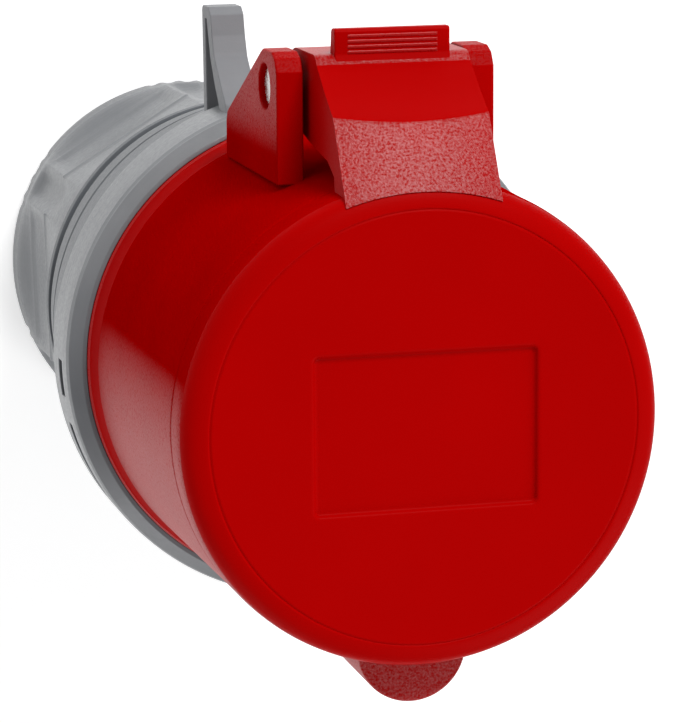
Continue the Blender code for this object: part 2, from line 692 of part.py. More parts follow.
def terminal_screw(name, x, y, bore, turn):
    """Screw that clamps the wire, set radially in the rear of a contact."""
    edge = 0.4
    tip, head = bore - 1.2, bore + LAND_WALL + SCREW_REACH
    screw = turned("terminal_screw_" + name, [
        (0, tip), (SCREW_R - edge, tip), (SCREW_R, tip + edge), (SCREW_R, head - edge),
        (SCREW_R - edge, head), (0, head)], TINY_STEPS, "steel")
    cut(screw, driver_slot(screw.name, SCREW_R, head))
    level = CARRIER_REAR_Z - CONTACT_TAIL + WIRE_BORE_DEPTH / 2
    place(screw, x, y, level)
    screw.rotation_euler = (0, math.radians(90), turn)
    return screw


def contact_clip(name, x, y, bore):
    """Open spring ring that closes the slit end of a contact on the pin."""
    inner = bore + TUBE_WALL + GAP
    outer = inner + CLIP_WALL
    top = FACE_Z - CONTACT_SINK - CLIP_DEPTH
    low, high = CLIP_MOUTH_DEG / 2, 360 - CLIP_MOUTH_DEG / 2
    outline = (arc((0, 0), outer, low, high, SMALL_STEPS)
               + arc((0, 0), inner, high, low, SMALL_STEPS))
    clip = prism_z("contact_clip_" + name, outline, top - CLIP_WIDTH, top, "steel")
    return place(clip, x, y)


# Seal between the housings

def housing_seal():
    """Sealing ring in the spigot's groove, pressed flush by the rear housing."""
    level = SPIGOT_Z + GROOVE_REACH + GROOVE_WIDTH / 2
    inner, outer = SPIGOT_R - GROOVE_DEPTH + GAP, SPIGOT_R
    half = GROOVE_WIDTH / 2 - GAP
    outline = [(inner, level - half), (outer, level - half + 0.5), (outer, level + half - 0.5),
               (inner, level + half)]
    return turned("housing_seal", outline, LARGE_STEPS, "rubber")


# Rear housing: grey ring and cone with the threaded neck and the latch

def latch_outline():
    """Side view of the hairpin latch, its feet sunk into the ring and the cone."""
    scale = LATCH_REACH / LATCH_REAR[0][0]
    front, rear, slot = ([(RING_R + y * scale, RING_Z - z) for y, z in line]
                         for line in (LATCH_FRONT, LATCH_REAR, LATCH_SLOT))
    foot = RING_R - LATCH_ROOT
    depths = (LATCH_FRONT[0][1] - 0.8, LATCH_REAR[0][1], LATCH_SLOT[0][1] - 0.7,
              LATCH_SLOT[-1][1] - 2.4)
    feet = [(foot, RING_Z - depth) for depth in depths]
    return [feet[0]] + front + rear + feet[1:3] + slot + [feet[3]]


def rear_housing():
    ring_low = RING_Z - RING_LENGTH
    cone_top, cone_low = ring_low - CONE_START, REAR_Z + CONE_END
    cone_r = RING_R - CONE_STEP
    groove_r = LIP_R - LIP_GROOVE
    ledge_r, ledge_low = NECK_BORE_R - LEDGE_WIDTH, REAR_Z - LEDGE_HEIGHT
    stop, mouth = SPIGOT_Z - GAP, FLANGE_Z - MOUTH_LENGTH
    seat = SPIGOT_R + GAP
    edge = 0.4
    body = turned("rear_housing", [
        (RING_BORE_R, RING_Z), (RING_BORE_R + RING_LIP, RING_Z),
        (RING_R - edge, RING_Z - RING_CHAMFER), (RING_R, RING_Z - RING_CHAMFER - 2 * edge),
        (RING_R, ring_low + edge), (RING_R - edge, ring_low), (cone_r, ring_low - edge),
        (cone_r, cone_top), (CONE_REAR_R, cone_low), (groove_r, cone_low - LIP_GROOVE),
        (groove_r, cone_low - LIP_GROOVE - LIP_GROOVE_WIDTH), (LIP_R, REAR_Z + LIP_LENGTH),
        (LIP_R, REAR_Z + edge), (LIP_R - edge, REAR_Z), (NECK_R, REAR_Z), (NECK_R, NECK_Z + edge),
        (NECK_R - edge, NECK_Z), (NECK_BORE_R, NECK_Z), (NECK_BORE_R, ledge_low - 0.5),
        (ledge_r, ledge_low), (ledge_r, REAR_Z), (CONE_REAR_R - REAR_WALL - 1, cone_low),
        (seat - 2.0, stop), (seat, stop), (seat, mouth), (RING_BORE_R, mouth)],
        LARGE_STEPS, "grey_plastic")
    join(body, prism_x("latch", latch_outline(), LATCH_LEFT, LATCH_LEFT + LATCH_WIDTH))
    cut(body, turned("ring_cavity", [(0, mouth), (RING_BORE_R, mouth),
                                     (RING_BORE_R, RING_Z + 1), (0, RING_Z + 1)], LARGE_STEPS))
    low = ring_low + WINDOW_REACH
    for index, turn in enumerate(around(WINDOW_SETS)):
        for middle, width in WINDOWS_DEG:
            start, end = middle - width / 2, middle + width / 2
            steps = math.ceil(width / 5)
            outline = (arc((0, 0), RING_R + 2, start, end, steps)
                       + arc((0, 0), RING_BORE_R - 1, end, start, steps))
            name = f"window_{index + 1}_{steps}"
            cut(body, place(prism_z(name, outline, low, low + WINDOW_HEIGHT), turn=turn))
    return body


# Gland: seal, claw cage and nut

def gland_seal():
    """Ribbed rubber bush that the claws press round the cable."""
    outer = NECK_BORE_R - GAP
    top = REAR_Z - LEDGE_HEIGHT - GAP - 0.5
    low = NECK_Z + GAP
    land = 1.5
    profile = [(outer, low), (outer, low + land)]
    pitch = (top - low - 2 * land) / SEAL_RIBS
    for index in range(SEAL_RIBS):
        start = low + land + index * pitch
        profile += [(outer - SEAL_RIB, start + SEAL_RIB),
                    (outer - SEAL_RIB, start + pitch - SEAL_RIB), (outer, start + pitch)]
    profile += [(outer, top), (SEAL_BORE_R + 3.0, top), (SEAL_BORE_R, top - 4.0),
                (SEAL_BORE_R, low + 2.0), (SEAL_BORE_R + 2.0, low)]
    return turned("gland_seal", profile, MEDIUM_STEPS, "rubber")


def cone_levels():
    """Top and bottom of the nut's inner cone, and its radius at each."""
    top = NUT_FLOOR + CONE_DEPTH
    return top, NUT_FLOOR, NECK_BORE_R + 0.6, NUT_HOLE_R + 1.6


def gland_clamp():
    """Flanged cage whose claws close on the cable as the nut pushes them in."""
    top = NECK_Z - GAP
    flange = top - CLAMP_FLANGE
    cone_top, cone_low, wide, narrow = cone_levels()
    claw_low = cone_low + 1.2
    share = (cone_top - claw_low) / (cone_top - cone_low)
    clear = THREAD_GAP + GAP
    root, tip = wide - clear, wide - (wide - narrow) * share - clear
    rim = NECK_R + THREAD_GAP - 1.3
    body = turned("gland_clamp", [
        (root - CLAW_WALL, top), (root - CLAW_WALL, cone_top), (tip - CLAW_WALL, claw_low),
        (tip, claw_low), (root, cone_top), (root, flange), (rim, flange), (rim, top)],
        MEDIUM_STEPS, "black_plastic")
    half = CLAW_SLOT / 2
    outline = [(0, -half), (NECK_R, -half), (NECK_R, half), (0, half)]
    for index, turn in enumerate(around(CLAW_COUNT, 360 / CLAW_COUNT / 2)):
        tool = prism_z(f"claw_slot_{index + 1}", outline, claw_low - 1, flange - 1.5)
        cut(body, place(tool, turn=turn))
    return body


def nut_section(share, plain):
    """Outline round the nut, from plain round (share 0) to full flats (1)."""
    pitch = 360 / NUT_LOBES
    half = NUT_FLAT_DEG / 2
    notch = pitch / 2 - half
    flat = NUT_R - NUT_FLAT_CUT
    corner = flat / math.cos(math.radians(half))
    facets = 6
    section = []
    for lobe in range(NUT_LOBES):
        for step in range(facets + 1):
            offset = -half + NUT_FLAT_DEG * step / facets
            section.append((lobe * pitch + offset, flat / math.cos(math.radians(offset))))
        section.append((lobe * pitch + half + notch,
                        corner * math.cos(math.radians(notch)) - NUT_NOTCH_SINK))
    outline = []
    for degrees, radius in section:
        turn = math.radians(degrees + NUT_TURN_DEG)
        length = plain + (min(radius, plain) - plain) * share
        outline.append((length * math.cos(turn), length * math.sin(turn)))
    return outline


def gland_nut():
    """Nut with broad flats for the hand, cut into a round body with a rear rim."""
    cone_top, cone_low, wide, narrow = cone_levels()
    bore = NECK_R + THREAD_GAP
    flats = NUT_LENGTH - NUT_SHOULDER
    ramp = NUT_RIM + NUT_RAMP
    rim = NUT_R - NUT_RIM_STEP
    edge = 0.8
    outer = [(NUT_R - edge, NUT_LENGTH, 0), (NUT_R, NUT_LENGTH - edge, 0), (NUT_R, flats + 1.0, 0),
             (NUT_R, flats, 1), (NUT_R, ramp, 1), (NUT_R, NUT_RIM + NUT_RAMP / 3, 0.7),
             (rim, NUT_RIM, 0.12), (rim, edge, 0), (rim - edge, 0, 0)]
    inner = [(NUT_HOLE_R, 0, 0), (NUT_HOLE_R, cone_low - 1.5, 0), (narrow, cone_low, 0),
             (wide, cone_top, 0), (bore, cone_top + 1.5, 0), (bore, NUT_LENGTH, 0)]
    rings = [[(x, y, level) for x, y in nut_section(share, radius)]
             for radius, level, share in outer + inner]
    return loft("gland_nut", rings, "grey_plastic", closed=True)


def main():
    clear_scene()
    front_housing()
    lid()
    lid_gasket()
    hinge_pin()
    lid_spring()
    carrier()
    carrier_cover()
    cover_screws()
    for name, x, y, bore, turn in contacts():
        contact_sleeve(name, x, y, bore, turn)
        terminal_screw(name, x, y, bore, turn)
        contact_clip(name, x, y, bore)
    housing_seal()
    rear_housing()
    gland_seal()
    gland_clamp()
    gland_nut()
    frame = bpy.data.objects.new("frame", None)
    bpy.context.scene.collection.objects.link(frame)
    frame.location = Vector((0, -FRAME_SHIFT * MM, 0))
    for item in bpy.data.objects:
        if item.parent is None and item is not frame:
            item.parent = frame


main()
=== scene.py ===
import bmesh
import bpy
import json
import math
from mathutils import Matrix, Vector


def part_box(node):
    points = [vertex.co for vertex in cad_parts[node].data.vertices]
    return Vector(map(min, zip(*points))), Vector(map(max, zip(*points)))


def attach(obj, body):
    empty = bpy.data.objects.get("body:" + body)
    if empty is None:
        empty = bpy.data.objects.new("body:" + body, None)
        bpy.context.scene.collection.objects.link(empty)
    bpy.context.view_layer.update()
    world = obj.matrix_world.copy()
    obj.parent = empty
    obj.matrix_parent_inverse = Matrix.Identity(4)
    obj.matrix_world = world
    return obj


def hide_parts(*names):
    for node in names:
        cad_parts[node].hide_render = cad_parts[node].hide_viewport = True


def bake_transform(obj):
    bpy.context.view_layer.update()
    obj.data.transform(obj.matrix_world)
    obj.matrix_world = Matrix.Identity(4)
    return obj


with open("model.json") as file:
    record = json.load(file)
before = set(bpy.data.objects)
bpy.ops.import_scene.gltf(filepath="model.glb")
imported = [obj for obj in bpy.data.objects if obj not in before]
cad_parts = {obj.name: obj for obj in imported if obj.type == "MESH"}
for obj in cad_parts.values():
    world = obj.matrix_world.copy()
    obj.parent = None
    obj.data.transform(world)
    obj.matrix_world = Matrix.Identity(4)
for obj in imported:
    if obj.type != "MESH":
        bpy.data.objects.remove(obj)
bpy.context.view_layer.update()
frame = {"nodes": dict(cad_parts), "record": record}
print("frame loaded, nodes:", len(frame["nodes"]))

# Sizes are in millimetres round the socket's own axis, with z up from the nut's rear face
mm = 0.001
carrierLow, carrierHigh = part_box("contact_carrier")
axisY = (carrierLow.y + carrierHigh.y) / 2
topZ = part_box("lid")[1].z / mm
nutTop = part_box("gland_nut")[1].z / mm
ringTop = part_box("rear_housing")[1].z / mm
hinge = {"y": 51.0, "z": topZ - 31.0, "pinRadius": 2.25, "boreRadius": 2.55, "top": 57.0}


# Outlines

def smoothStep(low, high, value):
    t = min(1.0, max(0.0, (value - low) / (high - low)))
    return t * t * (3 - 2 * t)


def blendMax(a, b, soft):
    h = max(soft - abs(a - b), 0.0) / soft      # rounds the line where two forms meet
    return max(a, b) + h * h * soft / 4


def blendMin(a, b, soft):
    return -blendMax(-a, -b, soft)


def roundCorners(corners, closed=True, steps=4):
    points = []          # a corner is (a, b) or (a, b, radius)
    count = len(corners)
    for i, corner in enumerate(corners):
        here = Vector(corner[:2])
        radius = corner[2] if len(corner) > 2 else 0
        if radius == 0 or (not closed and i in (0, count - 1)):
            points.append(tuple(here))
            continue
        before = Vector(corners[i - 1][:2]) - here
        after = Vector(corners[(i + 1) % count][:2]) - here
        reach = radius / math.tan(max(before.angle(after), 0.05) / 2)
        reach = min(reach, 0.49 * before.length, 0.49 * after.length)
        start, end = here + before.normalized() * reach, here + after.normalized() * reach
        for k in range(steps + 1):
            t = k / steps
            points.append(tuple(start * (1 - t) ** 2 + here * 2 * t * (1 - t) + end * t * t))
    return points


def arcPoints(center, radius, startDeg, endDeg, steps):
    turns = [math.radians(startDeg + (endDeg - startDeg) * i / steps) for i in range(steps + 1)]
    return [(center[0] + radius * math.cos(t), center[1] + radius * math.sin(t)) for t in turns]


def evenAngles(count, extra=()):
    found = sorted(set(round(360 * i / count, 3) for i in range(count))
                   | set(round(a % 360, 3) for a in extra))
    kept = [found[0]]
    for a in found[1:]:
        if a - kept[-1] > 0.05:
            kept.append(a)
    return kept


def spread(low, high, count):
    return [low + (high - low) * i / count for i in range(count + 1)]


# Meshes

def turnedRings(profile, angles, shape=None):
    rings = []
    for r, z in profile:
        ring = []
        for a in angles:
            rr, zz = shape(r, z, a) if shape else (r, z)
            t = math.radians(a)
            ring.append((rr * math.cos(t), rr * math.sin(t), zz))
        rings.append(ring)
    return rings


def skin(rings, closed=False, caps=False):
    count = len(rings[0])
    verts = [point for ring in rings for point in ring]
    faces = []
    last = len(rings) if closed else len(rings) - 1
    for i in range(last):
        a, b = i * count, ((i + 1) % len(rings)) * count
        for j in range(count):
            k = (j + 1) % count
            faces.append((a + j, a + k, b + k, b + j))
    if caps:
        faces.append(tuple(range(count))[::-1])
        faces.append(tuple((len(rings) - 1) * count + j for j in range(count)))
    return verts, faces


def makeMesh(name, verts, faces):
    mesh = bpy.data.meshes.new(name)
    mesh.from_pydata([(x * mm, y * mm + axisY, z * mm) for x, y, z in verts], [], faces)
    bm = bmesh.new()
    bm.from_mesh(mesh)
    bmesh.ops.remove_doubles(bm, verts=bm.verts, dist=1e-6)
    bmesh.ops.recalc_face_normals(bm, faces=bm.faces)
    bm.to_mesh(mesh)
    bm.free()
    item = bpy.data.objects.new(name, mesh)
    bpy.context.scene.collection.objects.link(item)
    return item


def moveMesh(item, turn=0.0, x=0.0, y=0.0, z=0.0):
    axis = Matrix.Translation((0, axisY, 0))
    place = Matrix.Translation((x * mm, y * mm, z * mm)) @ Matrix.Rotation(turn, 4, "Z")
    item.data.transform(axis @ place @ axis.inverted())
    return item


def settle(item):
    graph = bpy.context.evaluated_depsgraph_get()      # keeps the mesh that the modifiers give
    mesh = bpy.data.meshes.new_from_object(item.evaluated_get(graph))
    item.modifiers.clear()
    item.data = mesh
    return item


def combine(item, tools, operation):
    for tool in tools:
        cutter = item.modifiers.new(tool.name, "BOOLEAN")
        cutter.operation, cutter.solver, cutter.object = operation, "EXACT", tool
    settle(item)
    for tool in tools:
        bpy.data.objects.remove(tool, do_unlink=True)
    return item


def soften(item, width, steps=3, limit=30):
    bevel = item.modifiers.new("edges", "BEVEL")
    bevel.width, bevel.segments = width * mm, steps
    bevel.limit_method, bevel.angle_limit = "ANGLE", math.radians(limit)
    bevel.use_clamp_overlap = True
    return settle(item)


def finishPiece(item, body, nodes, finish, sharp=50):
    item.data.shade_smooth()
    item.data.set_sharp_from_angle(angle=math.radians(sharp))
    normals = item.modifiers.new("normals", "WEIGHTED_NORMAL")
    normals.keep_sharp = True
    item.data.materials.clear()
    for part in finish if isinstance(finish, (list, tuple)) else [finish]:
        item.data.materials.append(part)
    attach(item, body)
    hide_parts(*nodes)
    return item


def bar(name, outline, low, high):
    return makeMesh(name, *skin([[(x, y, z) for y, z in outline] for x in (low, high)],
                                caps=True))


def column(name, outline, low, high):
    return makeMesh(name, *skin([[(x, y, z) for x, y in outline] for z in (low, high)],
                                caps=True))


def crossRod(name, radius, low, high, y, z, steps=48):
    outline = [(y + a, z + b) for a, b in arcPoints((0, 0), radius, 0, 360, steps)[:-1]]
    return bar(name, outline, low, high)


# Finishes. Every one has its grain, colour drift and gloss from its own nodes.

def fill(node, values):
    for socketName, value in values.items():
        node.inputs[socketName].default_value = value


def plastic(name, values):
    mat = bpy.data.materials.new(name)
    mat.use_nodes = True
    nodes, links = mat.node_tree.nodes, mat.node_tree.links
    shader = nodes["Principled BSDF"]
    place = nodes.new("ShaderNodeTexCoord").outputs["Object"]

    def noise(scale, detail, source):
        found = nodes.new("ShaderNodeTexNoise")
        fill(found, {"Scale": scale, "Detail": detail, "Roughness": 0.6})
        links.new(source, found.inputs["Vector"])
        return found.outputs["Fac"]

    def ranged(source, low, high, first, last):
        found = nodes.new("ShaderNodeMapRange")
        fill(found, {"From Min": low, "From Max": high, "To Min": first, "To Max": last})
        links.new(source, found.inputs["Value"])
        return found

    def relief(height, strength):
        found = nodes.new("ShaderNodeBump")
        fill(found, {"Strength": strength, "Distance": values["bumpDepth"]})
        links.new(height, found.inputs["Height"])
        return found

    color = nodes.new("ShaderNodeValToRGB")
    ends = color.color_ramp.elements
    ends[0].position, ends[1].position = 0.3, 0.7
    ends[0].color, ends[1].color = (*values["dark"], 1.0), (*values["light"], 1.0)
    links.new(noise(values["driftScale"], 3.0, place), color.inputs["Fac"])
    links.new(color.outputs["Color"], shader.inputs["Base Color"])
    grain = noise(values["grainScale"], 2.0, place)
    gloss = ranged(grain, 0.3, 0.7, values["roughLow"], values["roughHigh"])
    links.new(gloss.outputs["Result"], shader.inputs["Roughness"])
    bump = relief(grain, values["bump"])
    if "streak" in values:                       # fine lines along the piece
        stretch = nodes.new("ShaderNodeMapping")
        fill(stretch, {"Scale": (0.05, 0.05, 1.0)})
        links.new(place, stretch.inputs["Vector"])
        lines = noise(values["streakScale"], 2.0, stretch.outputs["Vector"])
        links.new(relief(lines, values["streak"]).outputs["Normal"], bump.inputs["Normal"])
    links.new(bump.outputs["Normal"], shader.inputs["Normal"])
    fill(shader, {"Specular IOR Level": values["specular"], "Metallic": values.get("metal", 0.0)})
    level = None
    if "sideSheen" in values:                       # painted sheen: the gloss level grows along one direction across the piece, so that side shows a painted highlight and the other stays plain
        side = nodes.new("ShaderNodeVectorMath")
        side.operation = "DOT_PRODUCT"
        side.inputs[1].default_value = values["sheenSide"]
        links.new(place, side.inputs[0])
        paintedSheen = ranged(side.outputs["Value"], values["sheenFrom"], values["sheenTo"],
                        values["specular"], values["sideSheen"])
        paintedSheen.interpolation_type = "SMOOTHSTEP"
        level = paintedSheen.outputs["Result"]
    if "sparkle" in values:                      # single grains shine more than others
        glints = ranged(grain, 0.34, 0.70, *values["sparkle"])
        both = nodes.new("ShaderNodeMath")
        both.operation = "MULTIPLY"
        both.inputs[1].default_value = values["specular"]
        links.new(glints.outputs["Result"], both.inputs[0])
        if level:
            links.new(level, both.inputs[1])
        level = both.outputs["Value"]
    if level:
        links.new(level, shader.inputs["Specular IOR Level"])
    return mat


redBase = {"dark": (0.36, 0.0, 0.0), "light": (0.42, 0.0, 0.0), "driftScale": 60.0,
           "grainScale": 2600.0, "roughLow": 0.36, "roughHigh": 0.44, "bump": 1.0,
           "bumpDepth": 0.00008}
redSpark = plastic("redSpark", {
    **redBase, "grainScale": 2500.0, "specular": 0.42, "sparkle": (0.12, 1.6)})
# painted sheen on the ears: their gloss grows towards +Y, strongest near the tops and none at the
# feet
redGrain = plastic("redGrain", {
    **redBase, "grainScale": 3300.0, "specular": 0.0, "sideSheen": 0.03,
    "sheenSide": (0.0, 1.0, 0.0), "sheenFrom": 0.033, "sheenTo": 0.044,
    "sparkle": (0.0, 2.6)})
# painted sheen: on the collar and the lid's side wall the gloss is off towards +Y and grows towards
# the -Y side, away from the hinge
redFlank = plastic("redFlank", {
    **redBase, "dark": (0.37, 0.0, 0.0), "light": (0.41, 0.0, 0.0), "roughLow": 0.42,
    "roughHigh": 0.52, "specular": 0.0, "sideSheen": 0.52, "sheenSide": (-0.08, -1.0, 0.0),
    "sheenFrom": 0.001, "sheenTo": 0.022, "sparkle": (0.1, 1.6)})
smoothRed = {**redBase, "dark": (0.41, 0.0, 0.0), "light": (0.44, 0.0, 0.0),
             "driftScale": 25.0, "bump": 0.12, "bumpDepth": 0.00005}
redSatin = plastic("redSatin", {
    **smoothRed, "roughLow": 0.36, "roughHigh": 0.46, "specular": 0.015})
redRidge = plastic("redRidge", {
    **smoothRed, "dark": (0.40, 0.0, 0.0), "roughLow": 0.25, "roughHigh": 0.35,
    "specular": 0.3})
greyBase = {"driftScale": 70.0, "grainScale": 1500.0, "roughLow": 0.28, "roughHigh": 0.42,
            "bump": 0.25, "bumpDepth": 0.00008, "streakScale": 700.0}
greyFresh = plastic("greyFresh", {
    **greyBase, "dark": (0.158, 0.166, 0.178), "light": (0.188, 0.196, 0.208),
    "specular": 0.6, "streak": 0.9})
# painted shade and sheen: a darker copy of the ring's grey for the chamfer, whose gloss grows
# towards the upper left (-X, +Y)
greyShadeAndSheen = plastic("greyShadeAndSheen", {
    **greyBase, "dark": (0.128, 0.136, 0.148), "light": (0.158, 0.166, 0.178),
    "specular": 0.6, "streak": 0.9, "sideSheen": 2.2, "sheenSide": (-0.5, 0.87, 0.0),
    "sheenFrom": 0.012, "sheenTo": 0.038})
greyDull = plastic("greyDull", {
    **greyBase, "dark": (0.122, 0.130, 0.142), "light": (0.148, 0.156, 0.168),
    "roughLow": 0.34, "roughHigh": 0.46, "specular": 0.12, "streak": 0.6})
# painted light: a paler copy of the grey plastic for the latch, standing in for the light that
# falls on it
greyPale = plastic("greyPale", {
    **greyBase, "dark": (0.225, 0.230, 0.243), "light": (0.255, 0.260, 0.273),
    "roughLow": 0.40, "roughHigh": 0.50, "specular": 0.12, "streak": 0.6})
blackMatte = plastic("blackMatte", {
    "dark": (0.012, 0.012, 0.013), "light": (0.02, 0.02, 0.022), "driftScale": 80.0,
    "grainScale": 1800.0, "roughLow": 0.42, "roughHigh": 0.55, "bump": 0.25,
    "bumpDepth": 0.00006, "specular": 0.4})
softRubber = plastic("softRubber", {
    "dark": (0.009, 0.009, 0.009), "light": (0.016, 0.016, 0.016), "driftScale": 90.0,
    "grainScale": 1400.0, "roughLow": 0.65, "roughHigh": 0.8, "bump": 0.2,
    "bumpDepth": 0.00008, "specular": 0.3})
metalBase = {"grainScale": 1200.0, "bump": 0.08, "bumpDepth": 0.00003, "specular": 0.5,
             "metal": 1.0, "roughHigh": 0.3}
turnedBrass = plastic("turnedBrass", {
    **metalBase, "dark": (0.62, 0.42, 0.15), "light": (0.76, 0.55, 0.24),
    "driftScale": 120.0, "roughLow": 0.18})
brightSteel = plastic("brightSteel", {
    **metalBase, "dark": (0.55, 0.55, 0.54), "light": (0.70, 0.70, 0.68),
    "driftScale": 150.0, "roughLow": 0.16})
print("finishes made")


# Lid: a flat cap with a shallow recess in its face

lidForm = {
    "radius": 39.0, "height": 8.5, "wall": 2.4, "roof": 2.8, "faceRadius": 34.0,
    "recessWidth": 36.4, "recessHeight": 25.5, "recessDepth": 0.8, "recessCorner": 1.0,
    "recessShift": -0.3,
    "recessEdge": ((-0.9, 0.0), (-0.55, 0.03), (-0.32, 0.14), (-0.2, 0.32), (-0.1, 0.55),
                   (0.06, 0.70), (0.3, 0.775), (0.6, 0.8)),      # growth, rise
    "rim": ((34.3, 0), (34.5, 0.01), (34.62, 0.14), (34.78, 0.17), (34.9, 0.05), (35.1, 0.04),
            (35.6, 0.16), (36.3, 0.38), (37.0, 0.68), (37.6, 1.08), (38.1, 1.6), (38.5, 2.3),
            (38.78, 3.15), (38.93, 4.1), (39.0, 5.2)),           # radius, drop
    "ribs": ((31.2, 0), (31.0, 0.9), (29.8, 0.9), (29.6, 0), (12.0, 0), (11.6, 0.5),
             (10.6, 0.5), (10.2, 0), (0.0, 0)), "satinDrop": 3.6}


def recessRadius(angle, grow):
    halfW = lidForm["recessWidth"] / 2 + grow
    halfH = lidForm["recessHeight"] / 2 + grow
    corner = max(lidForm["recessCorner"] + grow, 0.25)
    c, s = abs(math.cos(math.radians(angle))), abs(math.sin(math.radians(angle)))
    if c > 1e-9 and halfW / c * s <= halfH - corner:
        return halfW / c
    if s > 1e-9 and halfH / s * c <= halfW - corner:
        return halfH / s
    cx, cy = halfW - corner, halfH - corner
    along = cx * c + cy * s
    return along + math.sqrt(max(along * along - (cx * cx + cy * cy - corner * corner), 0.0))


def buildLidShell():
    form = lidForm
    halfW, halfH = form["recessWidth"] / 2, form["recessHeight"] / 2
    corner = math.degrees(math.atan2(halfH, halfW))
    extra = [q + s * d for q in (0, 180) for s in (1, -1)
             for d in spread(corner - 5, corner + 5, 20)]
    angles = evenAngles(200, extra)
    rings = []

    def rectRing(grow, z, share=1.0):
        ring = []
        for a in angles:
            r = recessRadius(a, grow) * share
            t = math.radians(a)
            ring.append((r * math.cos(t), r * math.sin(t) + form["recessShift"] * share, z))
        rings.append(ring)

    floor, face = topZ - form["recessDepth"], form["faceRadius"]
    inmost, outmost = form["recessEdge"][0][0], form["recessEdge"][-1][0]
    for share in (0.0, 0.3, 0.6, 0.9):
        rectRing(inmost, floor, share)
    for grow, rise in form["recessEdge"]:
        rectRing(grow, floor + rise)
    for blend in (0.15, 0.4, 0.65, 0.85):        # from the recess to the round rim
        ring = []
        for a in angles:
            t = math.radians(a)
            r = recessRadius(a, outmost)
            x = (1 - blend) * r * math.cos(t) + blend * face * math.cos(t)
            y = (1 - blend) * (r * math.sin(t) + form["recessShift"]) + blend * face * math.sin(t)
            ring.append((x, y, topZ))
        rings.append(ring)
    outer, low = form["radius"], topZ - form["height"]
    inner, roof = outer - form["wall"], topZ - form["roof"]
    profile = [(r, topZ - drop) for r, drop in form["rim"]] + [(outer, low + 0.5)]
    profile += roundCorners([(outer, low + 0.5), (outer, low, 0.35), (inner, low, 0.4),
                             (inner - 0.3, roof, 0.8), (33.0, roof)], closed=False)[1:]
    profile += [(r, roof - drop) for r, drop in form["ribs"]]
    rings += turnedRings(profile, angles)
    item = makeMesh("lidShell", *skin(rings))
    finishPiece(item, "lid", ["lid"], [redFlank, redSatin])
    for side in item.data.polygons:
        if side.center.z > (topZ - form["satinDrop"]) * mm:
            side.material_index = 1


# Arm of the lid: textured slope, hollow scoop and the ridged thumb tab

armForm = {
    "half": 12.6, "rib": 3.2, "skin": 3.0, "knuckle": 6.0, "slot": 6.2,
    "springSlot": (-4.775, -2.975), "slopeStart": 38.3, "slopeDrop": 1.2, "slope": 0.6,
    "crestSoft": 0.35,
    "scoop": ((44.0, 0.9), (45.5, -2.3), (47.5, -6.7), (49.5, -10.0), (51.6, -13.1),
              (53.6, -15.7), (55.0, -17.6), (55.9, -18.5), (57.0, -18.9)),
    "brow": ((55.5, -18.15), (55.95, -18.55), (56.35, -18.85), (56.75, -19.3), (56.95, -19.9),
             (57.0, -20.7), (57.0, -24.0), (57.0, -28.0)),
    "belly": ((43.6, -27.0), (42.3, -20.0), (41.2, -12.0))}


def scoopDepth(y):
    spots = armForm["scoop"]
    for (ya, za), (yb, zb) in zip(spots, spots[1:]):
        if y <= yb:
            return za + (zb - za) * (y - ya) / (yb - ya)
    return spots[-1][1]


def armSection(x):
    form, soft, low = armForm, armForm["crestSoft"], -lidForm["height"]

    def slopeDepth(y):
        return -form["slopeDrop"] - form["slope"] * (math.hypot(x, y) - form["slopeStart"])

    crest = 46.0                                 # where the slope meets the scoop
    while slopeDepth(crest) < scoopDepth(crest) and crest < 50:
        crest += 0.01
    start = math.sqrt(lidForm["radius"] ** 2 - x * x) - 1.6
    line = [(y, slopeDepth(y)) for y in spread(start, crest - soft, 8)]
    line.append((crest, blendMin(slopeDepth(crest), scoopDepth(crest), soft)))
    line += [(y, scoopDepth(y)) for y in spread(crest + soft, 55.0, 9)]
    line += form["brow"]
    line += arcPoints((hinge["y"], hinge["z"] - topZ), form["knuckle"], 0, -180, 24)
    line += form["belly"]
    line += [(39.2, low + 0.6), (start, low + 0.9), (start, -3.5)]
    return [(x, y, topZ + z) for y, z in line]


def buildArm():
    form = armForm
    rings = [armSection(x) for x in spread(-form["half"], form["half"], 28)]
    arm = makeMesh("lidArm", *skin(rings, caps=True))
    half = form["half"] - form["rib"]
    top, z, inner, outer = hinge["top"] - form["skin"], hinge["z"], 36.0, 63.0
    pocket = bar("armPocket", [(inner, z + 20.5), (43.4, z + 19.5), (top - 3.4, z + 12.0),
                               (top, z + 8.2), (top, z - 10.0), (inner, z - 10.0)], -half, half)
    combine(arm, [pocket], "DIFFERENCE")
    barrel = crossRod("armBarrel", form["knuckle"] - 0.02, -half - 0.6, half + 0.6,
                      hinge["y"], z, 64)
    combine(arm, [barrel], "UNION")
    slot = bar("armSlot", [(inner, z + 4.4), (outer, z + 4.4), (outer, z - 10), (inner, z - 10)],
               -form["slot"], form["slot"])
    groove = bar("armGroove", [(55.0, z), (outer, z), (outer, z + 8.0), (55.0, z + 8.0)],
                 *form["springSlot"])
    bore = crossRod("armBore", hinge["boreRadius"], -20, 20, hinge["y"], z)
    combine(arm, [slot, groove, bore], "DIFFERENCE")
    soften(arm, 0.3, 2, 38)
    finishPiece(arm, "lid", ["lid"], [redSpark, redSatin])
    for face in arm.data.polygons:               # the sides and the scoop are satin
        depth = topZ - face.center.z / mm
        if abs(face.normal.x) > 0.7 or (0.2 < face.normal.z < 0.7 and 4.0 < depth < 18.2):
            face.material_index = 1


tabForm = {"half": 9.45, "top": 61.0, "front": 18.9, "depth": 2.4,
           "ridges": (57.3, 58.15, 59.0, 59.85), "ridgeHalf": 7.4, "ridgeTall": 0.16}


